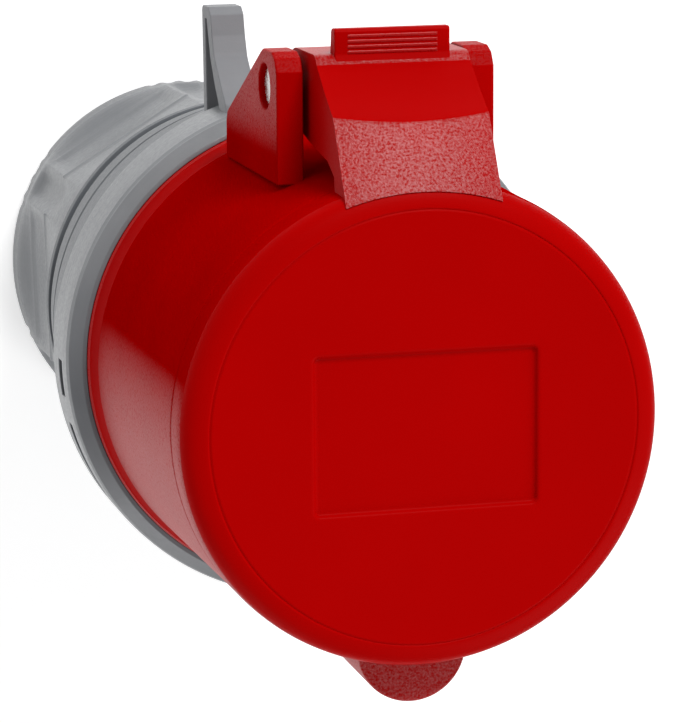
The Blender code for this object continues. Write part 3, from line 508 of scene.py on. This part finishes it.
def buildTab():
    form = tabForm
    front, depth, top = -form["front"], form["depth"], form["top"]
    outline = [(53.0, front - depth - 1.0), (56.4, front - depth - 0.7, 0.8),
               (60.6, front - depth, 0.5), (top, front - depth + 0.5, 0.5),
               (top, front - 0.2, 0.35), (60.5, front + 0.02, 0.25), (57.0, front, 1.2),
               (55.4, front + 0.55, 1.0), (53.0, front + 2.4)]
    tab = bar("thumbTab", [(y, topZ + z) for y, z in roundCorners(outline)],
              -form["half"], form["half"])
    soften(tab, 0.45, 3, 40)
    base, tall, end = topZ + front, form["ridgeTall"], form["ridgeHalf"]
    verts, faces = [], []
    for middle in form["ridges"]:
        ridge = [(middle + side, base + rise) for side, rise in (
            (-0.3, -0.3), (-0.3, 0), (-tall, tall), (tall, tall), (0.3, 0), (0.3, -0.3))]
        v, f = skin([[(x, y, z) for y, z in ridge] for x in (-end, 0.2 - end, end - 0.2, end)],
                    caps=True)
        v = [(x, y, z - (tall if abs(x) > end - 0.1 and z > base + 0.1 else 0)) for x, y, z in v]
        faces += [tuple(n + len(verts) for n in face) for face in f]
        verts += v
    grip = makeMesh("thumbRidges", verts, faces)
    finishPiece(tab, "lid", ["lid"], redSatin)
    finishPiece(grip, "lid", ["lid"], redRidge)


gasketForm = {"inner": 33.2, "outer": 35.7, "thickness": 2.0, "gap": 0.3}


def buildGasket():
    form = gasketForm
    inner, outer, top = form["inner"], form["outer"], topZ - lidForm["roof"] - form["gap"]
    low = topZ - lidForm["roof"] - (form["gap"] + form["thickness"])
    outline = roundCorners([(inner, top), (inner, low, 0.5), (outer, low, 0.5), (outer, top)])
    item = makeMesh("lidGasketRing", *skin(turnedRings(outline, evenAngles(160)), closed=True))
    finishPiece(item, "lid", ["lid_gasket"], softRubber)


buildLidShell()
buildArm()
buildTab()
buildGasket()
print("lid made")


# Front housing: the red collar, its keyway bulge and the two hinge ears

collarForm = {"front": 39.0, "rear": 39.95, "bore": 34.0, "flange": 41.1, "spigot": 38.6,
              "spigotBore": 35.6, "shoulder": topZ - 8.8, "lip": topZ - 5.4, "lipRadius": 35.4,
              "seat": topZ - 56.0, "flareLength": 5.5, "flangeLength": 5.7, "spigotEnd": 21.2,
              "sealDepth": 1.4, "sealWidth": 3.2, "sealReach": 3.3,
              "keyRadius": 9.0, "keyOffset": 37.6, "keyLength": 34.0, "keyRamp": 14.0,
              "keySink": 6.5, "keySpread": 17, "grooveRadius": 4.0, "grooveOffset": 34.6}


def flankRadius(z):
    form = collarForm
    share = (form["shoulder"] - z) / (form["shoulder"] - ringTop - form["flareLength"])
    return form["front"] + (form["rear"] - form["front"]) * min(max(share, 0.0), 1.0)


def rodReach(angle, offset, radius):
    away = math.radians(angle + 90)              # a rod at -Y, seen from the axis
    inside = radius * radius - (offset * math.sin(away)) ** 2
    if math.cos(away) < 0 or inside <= 0:
        return 0.0
    return offset * math.cos(away) + math.sqrt(inside)


def collarShape(r, z, angle):
    form = collarForm
    rear = form["shoulder"] - form["keyLength"]
    if r > form["lipRadius"] + 0.9 and z > rear - 1 and z <= form["shoulder"] + 0.01:
        flank = flankRadius(z)
        sink = form["keySink"] * (1 - smoothStep(rear, rear + form["keyRamp"], z))
        bulge = rodReach(angle, form["keyOffset"] - sink, form["keyRadius"])
        return blendMax(flank, bulge, 1.0) - (flank - r), z
    if abs(r - form["bore"]) < 0.6 and z > rear + form["keyRamp"]:
        groove = rodReach(angle, form["grooveOffset"], form["grooveRadius"])
        if z < form["shoulder"] + 0.3:
            return blendMax(r, groove, 0.3), z
    return r, z


def buildCollar():
    form = collarForm
    shoulder, lip, flare = form["shoulder"], form["lip"], ringTop + form["flareLength"]
    rear = shoulder - form["keyLength"]
    bore, flange, spigot = form["bore"], form["flange"], form["spigot"]
    flangeZ, spigotZ = ringTop - form["flangeLength"], ringTop - form["spigotEnd"]
    sealTop, sealR = spigotZ + form["sealReach"] + form["sealWidth"], spigot - form["sealDepth"]
    sealLow = sealTop - form["sealWidth"]
    head = roundCorners([(bore, shoulder - 2), (bore, lip, 0.35), (form["lipRadius"], lip, 0.45),
                         (form["lipRadius"], shoulder, 0.3), (form["front"], shoulder, 0.55),
                         (flankRadius(shoulder - 2), shoulder - 2)], closed=False)
    sides = [(flankRadius(z), z) for z in
             spread(shoulder - 2, rear + form["keyRamp"], 8)[1:]
             + spread(rear + form["keyRamp"], rear - 1, 14)[1:] + spread(rear - 1, flare, 6)[1:]]
    tail = roundCorners([
        (form["rear"], flare), (form["rear"], flare - 1.2, 0.2),
        (flange - 0.3, ringTop + 0.95, 0.1), (flange, ringTop + 0.6, 0.1), (flange, flangeZ, 0.2),
        (spigot, flangeZ, 0.2), (spigot, sealTop, 0.1), (sealR, sealTop, 0.1),
        (sealR, sealLow, 0.1), (spigot, sealLow, 0.1),
        (spigot, spigotZ, 0.5), (form["spigotBore"], spigotZ, 0.3),
        (form["spigotBore"], form["seat"], 0.2), (bore, form["seat"], 0.2),
        (bore, rear + form["keyRamp"] - 0.3)], closed=False)
    inside = [(bore, z) for z in spread(rear + form["keyRamp"] + 0.1, shoulder - 2, 3)]
    reach = form["keySpread"]
    angles = evenAngles(180, spread(-90 - reach, -90 + reach, 4 * reach))
    rings = turnedRings(head + sides + tail[1:] + inside[:-1], angles, collarShape)
    item = makeMesh("collar", *skin(rings, closed=True))
    finishPiece(item, "housing", ["front_housing"], [redFlank, redRidge, redSatin])
    for face in item.data.polygons:              # the flare is smooth, with a bright edge
        height = face.center.z / mm - ringTop
        if 0.3 < height < 4.4 and face.normal.z > 0.1:
            face.material_index = 1 if height < 1.0 else 2


earForm = {"inner": 13.6, "outer": 18.0, "front": topZ - 22.8, "rear": topZ - 57.6,
           "foot": 36.0, "recess": 3.7, "recessDepth": 2.2}


def buildEars():
    form = earForm
    front, rear, top, foot = form["front"], form["rear"], hinge["top"], form["foot"]
    outline = roundCorners([
        (foot, front), (top - 3.0, front, 0.5), (top - 0.9, front - 1.3, 0.9),
        (top, front - 3.4, 0.8), (top, hinge["z"] - 1.0, 1.0), (top - 0.6, hinge["z"] - 2.4, 0.8),
        (top - 13.0, rear, 1.0), (top - 14.6, rear - 0.8, 0.8), (foot, rear - 1.0)])
    for side, word in ((-1, "Left"), (1, "Right")):
        low, high = sorted((side * form["inner"], side * form["outer"]))
        ear = bar("ear" + word, outline, low, high)
        deep, reach = sorted((side * (form["outer"] - form["recessDepth"]), side * 20))
        recess = crossRod("earRecess", form["recess"], deep, reach, hinge["y"], hinge["z"], 64)
        bore = crossRod("earBore", hinge["boreRadius"], -21, 21, hinge["y"], hinge["z"])
        combine(ear, [recess, bore], "DIFFERENCE")
        soften(ear, 0.35, 3, 35)
        finishPiece(ear, "housing", ["front_housing"], [redGrain, redSatin])
        for face in ear.data.polygons:           # the front is satin
            if face.normal.z > 0.9:
                face.material_index = 1


pinForm = {"reach": 17.2, "head": 3.2, "headTall": 1.0}


def buildPin():
    tip, head, shank = pinForm["reach"], pinForm["head"], hinge["pinRadius"]
    neck = -tip + pinForm["headTall"]
    outline = roundCorners([(0, -tip), (head, -tip, 0.4), (head, neck, 0.2), (shank, neck),
                            (shank, tip, 0.6), (0, tip)], closed=False)
    rings = [[(z, r * math.cos(t) + hinge["y"], r * math.sin(t) + hinge["z"])
              for t in (math.radians(7.5 * i) for i in range(48))] for r, z in outline]
    item = makeMesh("hingePin", *skin(rings))
    finishPiece(item, "housing", ["hinge_pin"], brightSteel)


buildCollar()
buildEars()
buildPin()
print("front housing made")


# Rear housing: grey locking ring with its windows, cone, lip and hairpin latch

ringForm = {"radius": 44.3, "length": 14.3, "bore": 41.14, "sets": 3,
            "windows": ((184.7, 8.4), (204.8, 18.5)),            # middle and width, in degrees
            "windowTall": 3.0, "windowReach": 4.8}


def windowSpans():
    form = ringForm
    return [((middle + 360 / form["sets"] * i) % 360, width)
            for i in range(form["sets"]) for middle, width in form["windows"]]


def buildRing():
    form = ringForm
    radius, bore = form["radius"], form["bore"]
    low = ringTop - form["length"]
    windowLow = low + form["windowReach"]
    windowHigh = windowLow + form["windowTall"]
    outer = [(bore, ringTop - 0.5)] + roundCorners([
        (bore, ringTop + 0.3, 0.1), (bore + 0.75, ringTop + 0.1, 0.3),
        (radius - 0.4, ringTop - 1.9, 0.45), (radius - 0.1, ringTop - 2.9, 0.5),
        (radius, ringTop - 5.0)], closed=False)
    outerRow = len(outer)
    outer += [(radius, windowHigh), (radius, windowLow)] + roundCorners([
        (radius, low + 1.2), (radius, low, 0.35), (radius - 1.1, low - 0.25, 0.3),
        (radius - 1.1, low - 2.8)], closed=False)
    innerRow = len(outer) + 1
    profile = outer + [(bore, z) for z in (ringTop - 13.9, windowLow, windowHigh)]
    spans = windowSpans()
    angles = evenAngles(192, [c + s * w / 2 for c, w in spans for s in (-1, 1)])
    count, rows = len(angles), len(profile)
    holes = set()
    for step in range(count):
        middle = (angles[step] + (angles[step + 1] if step + 1 < count else 360)) / 2
        if any(abs((middle - c + 180) % 360 - 180) < w / 2 for c, w in spans):
            holes.add(step)
    verts, _ = skin(turnedRings(profile, angles))

    def corner(row, step):
        return (row % rows) * count + step % count

    faces = [(corner(row, step), corner(row, step + 1), corner(row + 1, step + 1),
              corner(row + 1, step)) for row in range(rows) for step in range(count)
             if not (step in holes and row in (outerRow, innerRow))]
    for step in holes:                           # the windows' four sides
        for a, b in ((outerRow, innerRow + 1), (outerRow + 1, innerRow)):
            faces.append((corner(a, step), corner(a, step + 1),
                          corner(b, step + 1), corner(b, step)))
        for end, beyond in ((step, step - 1), (step + 1, step + 1)):
            if beyond % count not in holes:
                faces.append((corner(outerRow, end), corner(outerRow + 1, end),
                              corner(innerRow, end), corner(innerRow + 1, end)))
    ring = makeMesh("lockingRing", verts, faces)
    soften(ring, 0.2, 2, 50)
    finishPiece(ring, "housing", ["rear_housing"], [greyFresh, greyShadeAndSheen])
    for face in ring.data.polygons:              # the chamfer takes the darker grey as painted shade, with its painted sheen
        face.material_index = int(face.normal.z > 0.3)


coneForm = {"narrow": 38.0, "lip": 37.6, "rise": 7.2, "nutGap": 1.0,
            "line": ((0.46, 0.0), (0.42, 0.7), (0.39, 0.7), (0.35, 0.05)),     # share, depth
            "neck": 28.5, "neckWall": 4.5, "neckLength": 27.0, "seat": 20.5, "chamber": 38.9}


def buildCone():
    form, radius = coneForm, ringForm["radius"]
    low, base = ringTop - ringForm["length"], nutTop + form["nutGap"]
    wide, narrow = (radius - 1.15, low - 2.8), (form["narrow"], base + form["rise"])
    lip, neck, joint = form["lip"], form["neck"], ringForm["bore"] - 0.2
    seat, chamber, inside = form["seat"], form["chamber"], neck - form["neckWall"]
    end = base - form["neckLength"]

    def onSlope(share, sink):                    # a spot on the cone's outside
        return [a + (b - a) * share - s for a, b, s in zip(narrow, wide, (sink, 0.0))]

    line = [(*onSlope(*spot), soft) for spot, soft in zip(form["line"], (0.2, 0.1, 0.1, 0.2))]
    profile = roundCorners([
        (joint, low - 0.6), (radius - 1.1, low - 0.6, 0.2), (*wide, 1.5), *line,
        (*narrow, 1.2), (lip - 0.5, base + 6.3, 0.4), (lip - 0.5, base + 4.3, 0.3),
        (lip - 1.9, base + 3.9, 0.2), (lip - 1.9, base + 2.8, 0.2), (lip, base + 2.4, 0.3),
        (lip, base, 0.5), (neck, base, 0.3), (neck, end + 0.5), (neck - 0.5, end), (inside, end),
        (inside, base - 5.5), (seat, base - 5.0, 0.5), (seat, base, 0.5),
        (33.2, base + form["rise"]), (36.8, low - 7.2), (chamber, low - 7.2),
        (chamber, low + 0.4), (joint, low + 0.4)])
    item = makeMesh("cableHousing", *skin(turnedRings(profile, evenAngles(192)), closed=True))
    finishPiece(item, "housing", ["rear_housing"], greyDull)


latchForm = {"left": -15.0, "width": 6.0, "top": 58.8, "foot": 39.5}


def buildLatch():
    form = latchForm                             # a hairpin, drawn as reach and drop
    foot, top = form["foot"], form["top"]
    corners = [(foot, 71.0), (43.1, 71.8, 1.0), (46.1, 75.3, 4.0), (50.5, 80.1, 4.0),
               (54.0, 81.6, 3.0), (top - 1.2, 82.6, 0.6), (top, 84.2, 0.7),
               (top, 88.6, 0.5), (top - 0.6, 89.2, 0.4), (foot, 88.6), (foot, 86.2),
               (top - 2.2, 86.9, 0.3), (top - 2.2, 85.7, 0.3), (50.0, 83.2, 2.5),
               (45.5, 79.9, 2.5), (42.8, 77.4, 1.0), (foot, 75.0)]
    flipped = [(c[0], topZ - c[1], *c[2:]) for c in corners]
    latch = bar("latch", roundCorners(flipped), form["left"], form["left"] + form["width"])
    soften(latch, 0.4, 3, 40)
    finishPiece(latch, "housing", ["rear_housing"], greyPale)


buildRing()
buildCone()
buildLatch()
print("rear housing made")


# Gland nut: round in front, six hand flats with narrow corner facets, round rim behind

nutForm = {"radius": 36.2, "front": 35.8, "rim": 35.4, "lobes": 6, "flatDeg": 46.5,
           "flatDistance": 32.9, "turnDeg": 1.3, "shoulder": 22.8, "skirt": 12.0,
           "rimTall": 3.0, "hole": 13.5, "thread": 28.9, "notch": 1.3, "bead": 0.3,
           "hollow": 0.8, "gripDeg": 11, "gripDepth": 0.35}


def nutRadius(plain, angle, share, lift=0.0):
    form = nutForm
    pitch = 360 / form["lobes"]
    offset = (angle - form["turnDeg"] + pitch / 2) % pitch - pitch / 2
    half = form["flatDeg"] / 2
    corner = form["flatDistance"] / math.cos(math.radians(half))
    flat = form["flatDistance"] / math.cos(math.radians(min(abs(offset), half)))
    away = (abs(offset) - half) / (pitch / 2 - half)
    dip = form["notch"] * smoothStep(0.0, 0.8, away) * smoothStep(0.5, 1.0, share)
    rise = lift if lift > 0 else lift * (1 - smoothStep(0.8 * half, half, abs(offset)))
    return plain + (min(corner, flat) - dip - plain) * share + rise * (away < 0.1)


def rimRipple(angle, share):                     # small grips on the rim at the corners
    form = nutForm
    pitch = 360 / form["lobes"]
    offset = (angle - form["turnDeg"]) % pitch - pitch / 2
    wave = (math.cos(math.radians(offset * 60)) - 1) / 2
    return share * form["gripDepth"] * wave * smoothStep(
        form["gripDeg"], form["gripDeg"] - 3, abs(offset))


def buildNut():
    form = nutForm
    radius, rim, front = form["radius"], form["rim"], form["front"]
    flats = nutTop - form["shoulder"]
    outer = [(front - 0.9, nutTop, 0), (front - 0.35, nutTop - 0.14, 0), (front, nutTop - 0.6, 0)]
    for share in spread(0.0, 1.0, 12)[1:]:
        outer.append((front + (radius - front) * share, nutTop - 1.0 - (form["shoulder"] - 2.0)
                      * share, 0.985 * share))
    for drop, lift in ((0.3, 0.55), (0.0, 0.9), (-0.35, 1.0), (-0.7, 0.75), (-1.2, 0.0)):
        outer.append((radius, flats + drop, 1, form["bead"] * lift))
    for z in spread(flats - 1.2, form["skirt"], 8)[1:]:
        hollow = math.sin(math.pi * (flats - 1.2 - z) / (flats - 1.2 - 9.0))
        outer.append((radius, z, 1, -form["hollow"] * hollow))
    for z in spread(form["skirt"], form["rimTall"], 10)[1:]:
        share = smoothStep(0.0, 1.0, (11.5 - z) / 8)
        outer.append((radius + (rim - radius) * share, z, 1 - 0.9 * share))
    firstGrip, lastGrip = len(outer) - 2, len(outer) + 2
    outer += [(rim, 2.3, 0.05), (rim, 1.0, 0.03), (rim - 0.12, 0.45, 0.02), (rim - 0.4, 0.12, 0),
              (rim - 0.9, 0, 0)]
    inner = [(16.0, 0, 0), (14.6, 0.1, 0), (13.9, 0.5, 0), (form["hole"], 1.2, 0),
             (form["hole"], 4.6, 0), (15.1, 6.1, 0), (24.6, 17.1, 0), (form["thread"], 18.6, 0),
             (form["thread"], nutTop - 0.6, 0), (form["thread"] + 0.6, nutTop, 0)]
    pitch = 360 / form["lobes"]
    half = form["flatDeg"] / 2
    extra = []
    for lobe in range(form["lobes"]):
        middle = form["turnDeg"] + pitch * lobe
        for s in (-1, 1):
            extra += [middle + s * (half + d) for d in (-0.8, -0.4, -0.15, 0, 0.15, 0.4, 0.8)]
        reach = form["gripDeg"]
        extra += spread(middle + pitch / 2 - reach, middle + pitch / 2 + reach, 2 * reach)
    angles = evenAngles(144, extra)
    rings = []
    for i, (r, z, share, *lift) in enumerate(outer + inner):
        grip = 1.0 if firstGrip <= i <= lastGrip else 0.0
        ring = []
        for a in angles:
            reach = nutRadius(r, a, share, *lift) + rimRipple(a, grip)
            ring.append((reach * math.cos(math.radians(a)), reach * math.sin(math.radians(a)), z))
        rings.append(ring)
    item = makeMesh("glandNut", *skin(rings, closed=True))
    finishPiece(item, "gland_nut", ["gland_nut"], greyFresh, 30)


buildNut()
print("gland nut made")


# Inside: carrier with its contacts, gland seal, claw cage and the lid's spring

insideForm = {
    "face": topZ - 13.0, "seat": topZ - 56.3, "rear": topZ - 59.7, "radius": 28.2,
    "flange": 35.3, "pitch": 17.484, "web": 2.5, "pilots": (18, 162), "pilotPitch": 24.0,
    "contacts": {"earth": 4.2, "line_1": 3.2, "line_2": 3.2, "line_3": 3.2, "neutral": 3.2},
    "slit": 0.8, "slitLength": 12.0, "tubeLength": 26.0, "screwBore": 2.2}


def contactSpots():
    form = insideForm                            # the earth contact is at -Y
    for i, (name, bore) in enumerate(form["contacts"].items()):
        turn = math.radians(360 // len(form["contacts"]) * i - 90)
        yield name, form["pitch"] * math.cos(turn), form["pitch"] * math.sin(turn), bore, turn


def buildCarrier():
    form = insideForm
    face, seat, rear, radius = form["face"], form["seat"], form["rear"], form["radius"]
    profile = roundCorners([
        (0, rear), (form["flange"], rear, 0.4), (form["flange"], seat, 0.4), (radius, seat, 0.3),
        (radius, face, 0.9), (25.6, face, 0.15), (25.3, face - 0.5, 0.15), (24.5, face - 0.5, 0.15),
        (24.2, face, 0.15), (0, face)], closed=False)
    item = makeMesh("carrierBlock", *skin(turnedRings(profile, evenAngles(144))))
    tools = []
    for name, x, y, bore, _ in contactSpots():
        land, hole = bore + 2.7, bore + 0.3
        outline = [(0, rear - 1), (land, rear - 1), (land, face - form["web"]),
                   (hole, face - form["web"]), (hole, face - 0.6), (hole + 1.0, face + 0.4),
                   (hole + 1.0, face + 1), (0, face + 1)]
        well = makeMesh("well_" + name, *skin(turnedRings(outline, evenAngles(64))))
        tools.append(moveMesh(well, x=x, y=y))
    for turn in map(math.radians, form["pilots"]):
        outline = [(0, rear - 1), (2.0, rear - 1), (2.0, rear + 11.0), (0, rear + 12.0)]
        pilot = makeMesh("pilot", *skin(turnedRings(outline, evenAngles(24))))
        tools.append(moveMesh(pilot, x=form["pilotPitch"] * math.cos(turn),
                              y=form["pilotPitch"] * math.sin(turn)))
    combine(item, tools, "DIFFERENCE")
    finishPiece(item, "housing", ["contact_carrier"], blackMatte, 35)


def buildContacts():
    form = insideForm
    front, collarTop, rear = form["face"] - 3.0, form["rear"] - 0.3, form["rear"] - 21.0
    for name, x, y, bore, turn in contactSpots():
        tube, land, collar = bore + 1.15, bore + 2.4, bore + 3.4
        end, half = front - form["tubeLength"], form["slit"] / 2
        profile = roundCorners([
            (0, rear + 15), (bore, rear + 15), (bore, rear, 0.3), (land, rear, 0.3),
            (land, collarTop - 1.7), (collar, collarTop - 1.7, 0.2), (collar, collarTop, 0.2),
            (land, collarTop), (land, end - 1.0, 0.3), (tube, end, 0.3), (tube, front, 0.35),
            (bore + 0.5, front, 0.25), (bore, front - 0.9, 0.3), (bore, end - 2), (0, end - 2)],
            closed=False)
        item = makeMesh("socket_" + name, *skin(turnedRings(profile, evenAngles(64))))
        slit = column("slit", [(-land, -half), (land, -half), (land, half), (-land, half)],
                      front - form["slitLength"], front + 1)
        drill = crossRod("drill", form["screwBore"], 0, land + 1, 0, rear + 7.5, 32)
        combine(item, [slit, drill], "DIFFERENCE")
        moveMesh(item, turn, x, y)
        finishPiece(item, "housing", ["contact_" + name], turnedBrass, 35)


glandForm = {"bore": 24.0, "seal": 9.0, "rib": 0.9, "low": 24.1, "claws": 8, "slot": 1.8,
             "wall": 2.2, "cageTop": 23.5, "root": 23.9, "rootLow": 17.1, "tipLow": 7.3,
             "lean": 9.5 / 11.0, "rim": 27.6}


def buildGland():
    form = glandForm
    low, top = form["low"], nutTop + coneForm["nutGap"] - 5.8
    outer, seal, rib = form["bore"] - 0.3, form["seal"], form["rib"]
    half = (top - low - 3.0) / 2
    sides = [(outer, low, 0.3), (outer, low + 1.5, 0.3)]
    for start in (low + 1.5, low + 1.5 + half):
        sides += [(outer - rib, start + rib, 0.5), (outer - rib, start + half - rib, 0.5),
                  (outer, start + half, 0.3)]
    profile = roundCorners(sides + [
        (outer, top, 0.3), (seal + 3, top, 0.5), (seal, top - 4, 1.2), (seal, low + 2, 1.0),
        (seal + 2, low, 0.5)])
    bush = makeMesh("sealBush", *skin(turnedRings(profile, evenAngles(120)), closed=True))
    finishPiece(bush, "housing", ["gland_seal"], softRubber)
    top, root, wall, rim = form["cageTop"], form["root"], form["wall"], form["rim"]
    rootLow, tipLow = form["rootLow"], form["tipLow"]
    tip = root - form["lean"] * (rootLow - tipLow)
    profile = roundCorners([
        (root - wall, top, 0.3), (root - wall, rootLow, 0.8), (tip - wall, tipLow, 0.4),
        (tip, tipLow, 0.4), (root, rootLow, 0.8), (root, top - 2.4, 0.2),
        (rim, top - 2.4, 0.3), (rim, top, 0.3)])
    cage = makeMesh("clawCage", *skin(turnedRings(profile, evenAngles(120)), closed=True))
    tools = []
    half, reach = form["slot"] / 2, rim + 1.4
    for i in range(form["claws"]):
        tool = column("clawSlot", [(0.5, -half), (reach, -half), (reach, half), (0.5, half)],
                      tipLow - 1.0, top - 3.9)
        tools.append(moveMesh(tool, math.radians(360 / form["claws"] * (i + 0.5))))
    combine(cage, tools, "DIFFERENCE")
    finishPiece(cage, "gland_clamp", ["gland_clamp"], blackMatte, 35)


springForm = {"wire": 0.6, "turns": 5, "pitch": 1.55, "mean": 3.45, "leg": 3.2, "gap": 0.3}


def buildSpring():
    form = springForm
    wire, mean, width = form["wire"], form["mean"], form["turns"] * form["pitch"]
    lift = hinge["top"] - 2.0 + form["gap"] + wire - hinge["y"]      # one leg under the arm
    foot = collarForm["rear"] + form["gap"] + wire - hinge["y"]      # the other on the collar
    points = [(-width / 2, lift, mean + 0.75 + form["leg"]), (-width / 2, lift, mean + 0.75)]
    steps = 24 * form["turns"] + 6
    for i in range(steps + 1):
        turn = math.radians(90 + 15 * i)
        points.append((width * (i / steps - 0.5), mean * math.sin(turn), mean * math.cos(turn)))
    points += [(width / 2, foot + 0.6, -mean - 0.4), (width / 2, foot, -mean - 1.4),
               (width / 2, foot, -mean - 2.8 - form["leg"])]
    line = [Vector((x, y + hinge["y"], z + hinge["z"])) for x, y, z in points]
    rings, side = [], Vector((1, 0, 0))          # the wire's round section, carried along it
    for i, spot in enumerate(line):
        along = (line[min(i + 1, len(line) - 1)] - line[max(i - 1, 0)]).normalized()
        side = (side - along * side.dot(along)).normalized()
        up = along.cross(side)
        rings.append([tuple(spot + side * wire * math.cos(t) + up * wire * math.sin(t))
                      for t in (math.radians(30 * k) for k in range(12))])
    item = makeMesh("closingSpring", *skin(rings, caps=True))
    item.data.shade_smooth()
    item.data.materials.append(brightSteel)
    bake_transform(item)
    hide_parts("lid_spring")


buildCarrier()
buildContacts()
buildGland()
buildSpring()
print("inside made")


# The nodes that stay hidden inside keep their own shape and get a finish
finishBySlot = {"red_plastic": redSpark, "grey_plastic": greyFresh, "black_plastic": blackMatte,
                "rubber": softRubber, "brass": turnedBrass, "steel": brightSteel}
slotOf = {part["node"]: part["material_slot"] for part in frame["record"]["subparts"]}
for name, node in frame["nodes"].items():
    node.data.materials.clear()
    node.data.materials.append(finishBySlot[slotOf[name]])


# Camera at the photograph's angle

cameraForm = {"place": (-0.1506, 0.1099, 0.6921), "lens": 175.58, "sensor": 36.0,
              "right": (0.9663, -0.0072, 0.2573), "up": (0.0567, 0.981, -0.1854)}


def buildCamera():
    data = bpy.data.cameras.new("camera")
    data.lens, data.sensor_width = cameraForm["lens"], cameraForm["sensor"]
    data.clip_start, data.clip_end = 0.01, 50.0
    camera = bpy.data.objects.new("camera", data)
    bpy.context.scene.collection.objects.link(camera)
    right = Vector(cameraForm["right"]).normalized()
    back = right.cross(Vector(cameraForm["up"])).normalized()
    up = back.cross(right)
    turn = Matrix((right, up, back)).transposed().to_4x4()
    camera.matrix_world = Matrix.Translation(cameraForm["place"]) @ turn
    bpy.context.scene.camera = camera


# Studio: white floor, soft sky that is paler at the horizon, and soft lamps

studioForm = {
    "floor": 0.80, "floorHalf": 6, "floorDrop": 0.0002, "glow": 0.52, "zenith": 0.32,
    "horizon": 0.68, "aim": (0, 0, 0.09), "lamps": {
        "keyLamp": {"place": (0.75, -0.75, 0.75), "size": 0.7, "watts": 6.0},
        "topLamp": {"place": (0.3, 1.0, 0.95), "size": 0.5, "watts": 12.0},
        "lowLamp": {"place": (-0.5, -1.0, 0.25), "size": 0.6, "watts": 2.5}}}


def seenDirectly(nodes, links):
    path = nodes.new("ShaderNodeLightPath")
    total = path.outputs["Is Camera Ray"]
    for word in ("Is Glossy Ray", "Is Transmission Ray"):
        plus = nodes.new("ShaderNodeMath")
        plus.operation, plus.use_clamp = "ADD", True
        links.new(total, plus.inputs[0])
        links.new(path.outputs[word], plus.inputs[1])
        total = plus.outputs["Value"]
    return total


def buildFloor():
    form = studioForm
    mesh = bpy.data.meshes.new("floor")
    half = form["floorHalf"]
    mesh.from_pydata([(-half, -half, 0), (half, -half, 0), (half, half, 0), (-half, half, 0)],
                     [], [(0, 1, 2, 3)])
    floor = bpy.data.objects.new("floor", mesh)
    bpy.context.scene.collection.objects.link(floor)
    floor.location.z = -form["floorDrop"]
    mat = bpy.data.materials.new("paleFloor")
    mat.use_nodes = True
    nodes, links = mat.node_tree.nodes, mat.node_tree.links
    shader = nodes["Principled BSDF"]
    fill(shader, {"Base Color": (form["floor"],) * 3 + (1.0,), "Roughness": 0.9,
                  "Specular IOR Level": 0.0, "Emission Color": (1, 1, 1, 1)})
    share = nodes.new("ShaderNodeMath")
    share.operation = "MULTIPLY"
    share.inputs[1].default_value = form["glow"]
    links.new(seenDirectly(nodes, links), share.inputs[0])
    links.new(share.outputs["Value"], shader.inputs["Emission Strength"])
    mesh.materials.append(mat)


def buildSky():
    form = studioForm
    world = bpy.data.worlds.new("studio")
    bpy.context.scene.world = world
    world.use_nodes = True
    nodes, links = world.node_tree.nodes, world.node_tree.links
    sky = nodes["Background"]
    sky.inputs["Color"].default_value = (1, 1, 1, 1)
    place = nodes.new("ShaderNodeTexCoord")
    parts = nodes.new("ShaderNodeSeparateXYZ")
    links.new(place.outputs["Generated"], parts.inputs["Vector"])
    height = nodes.new("ShaderNodeMapRange")
    fill(height, {"From Min": 0.0, "From Max": 0.8, "To Min": form["horizon"],
                  "To Max": form["zenith"]})
    links.new(parts.outputs["Z"], height.inputs["Value"])
    links.new(height.outputs["Result"], sky.inputs["Strength"])


def buildStudio():
    buildFloor()
    buildSky()
    for name, lamp in studioForm["lamps"].items():
        data = bpy.data.lights.new(name, "AREA")
        data.shape, data.size, data.energy = "SQUARE", lamp["size"], lamp["watts"]
        item = bpy.data.objects.new(name, data)
        bpy.context.scene.collection.objects.link(item)
        item.location = lamp["place"]
        aim = Vector(studioForm["aim"]) - Vector(lamp["place"])
        item.rotation_euler = aim.to_track_quat("-Z", "Y").to_euler()
        item.visible_camera = False
    bpy.context.scene.view_settings.view_transform = "Standard"


buildCamera()
buildStudio()
print("camera and studio made")
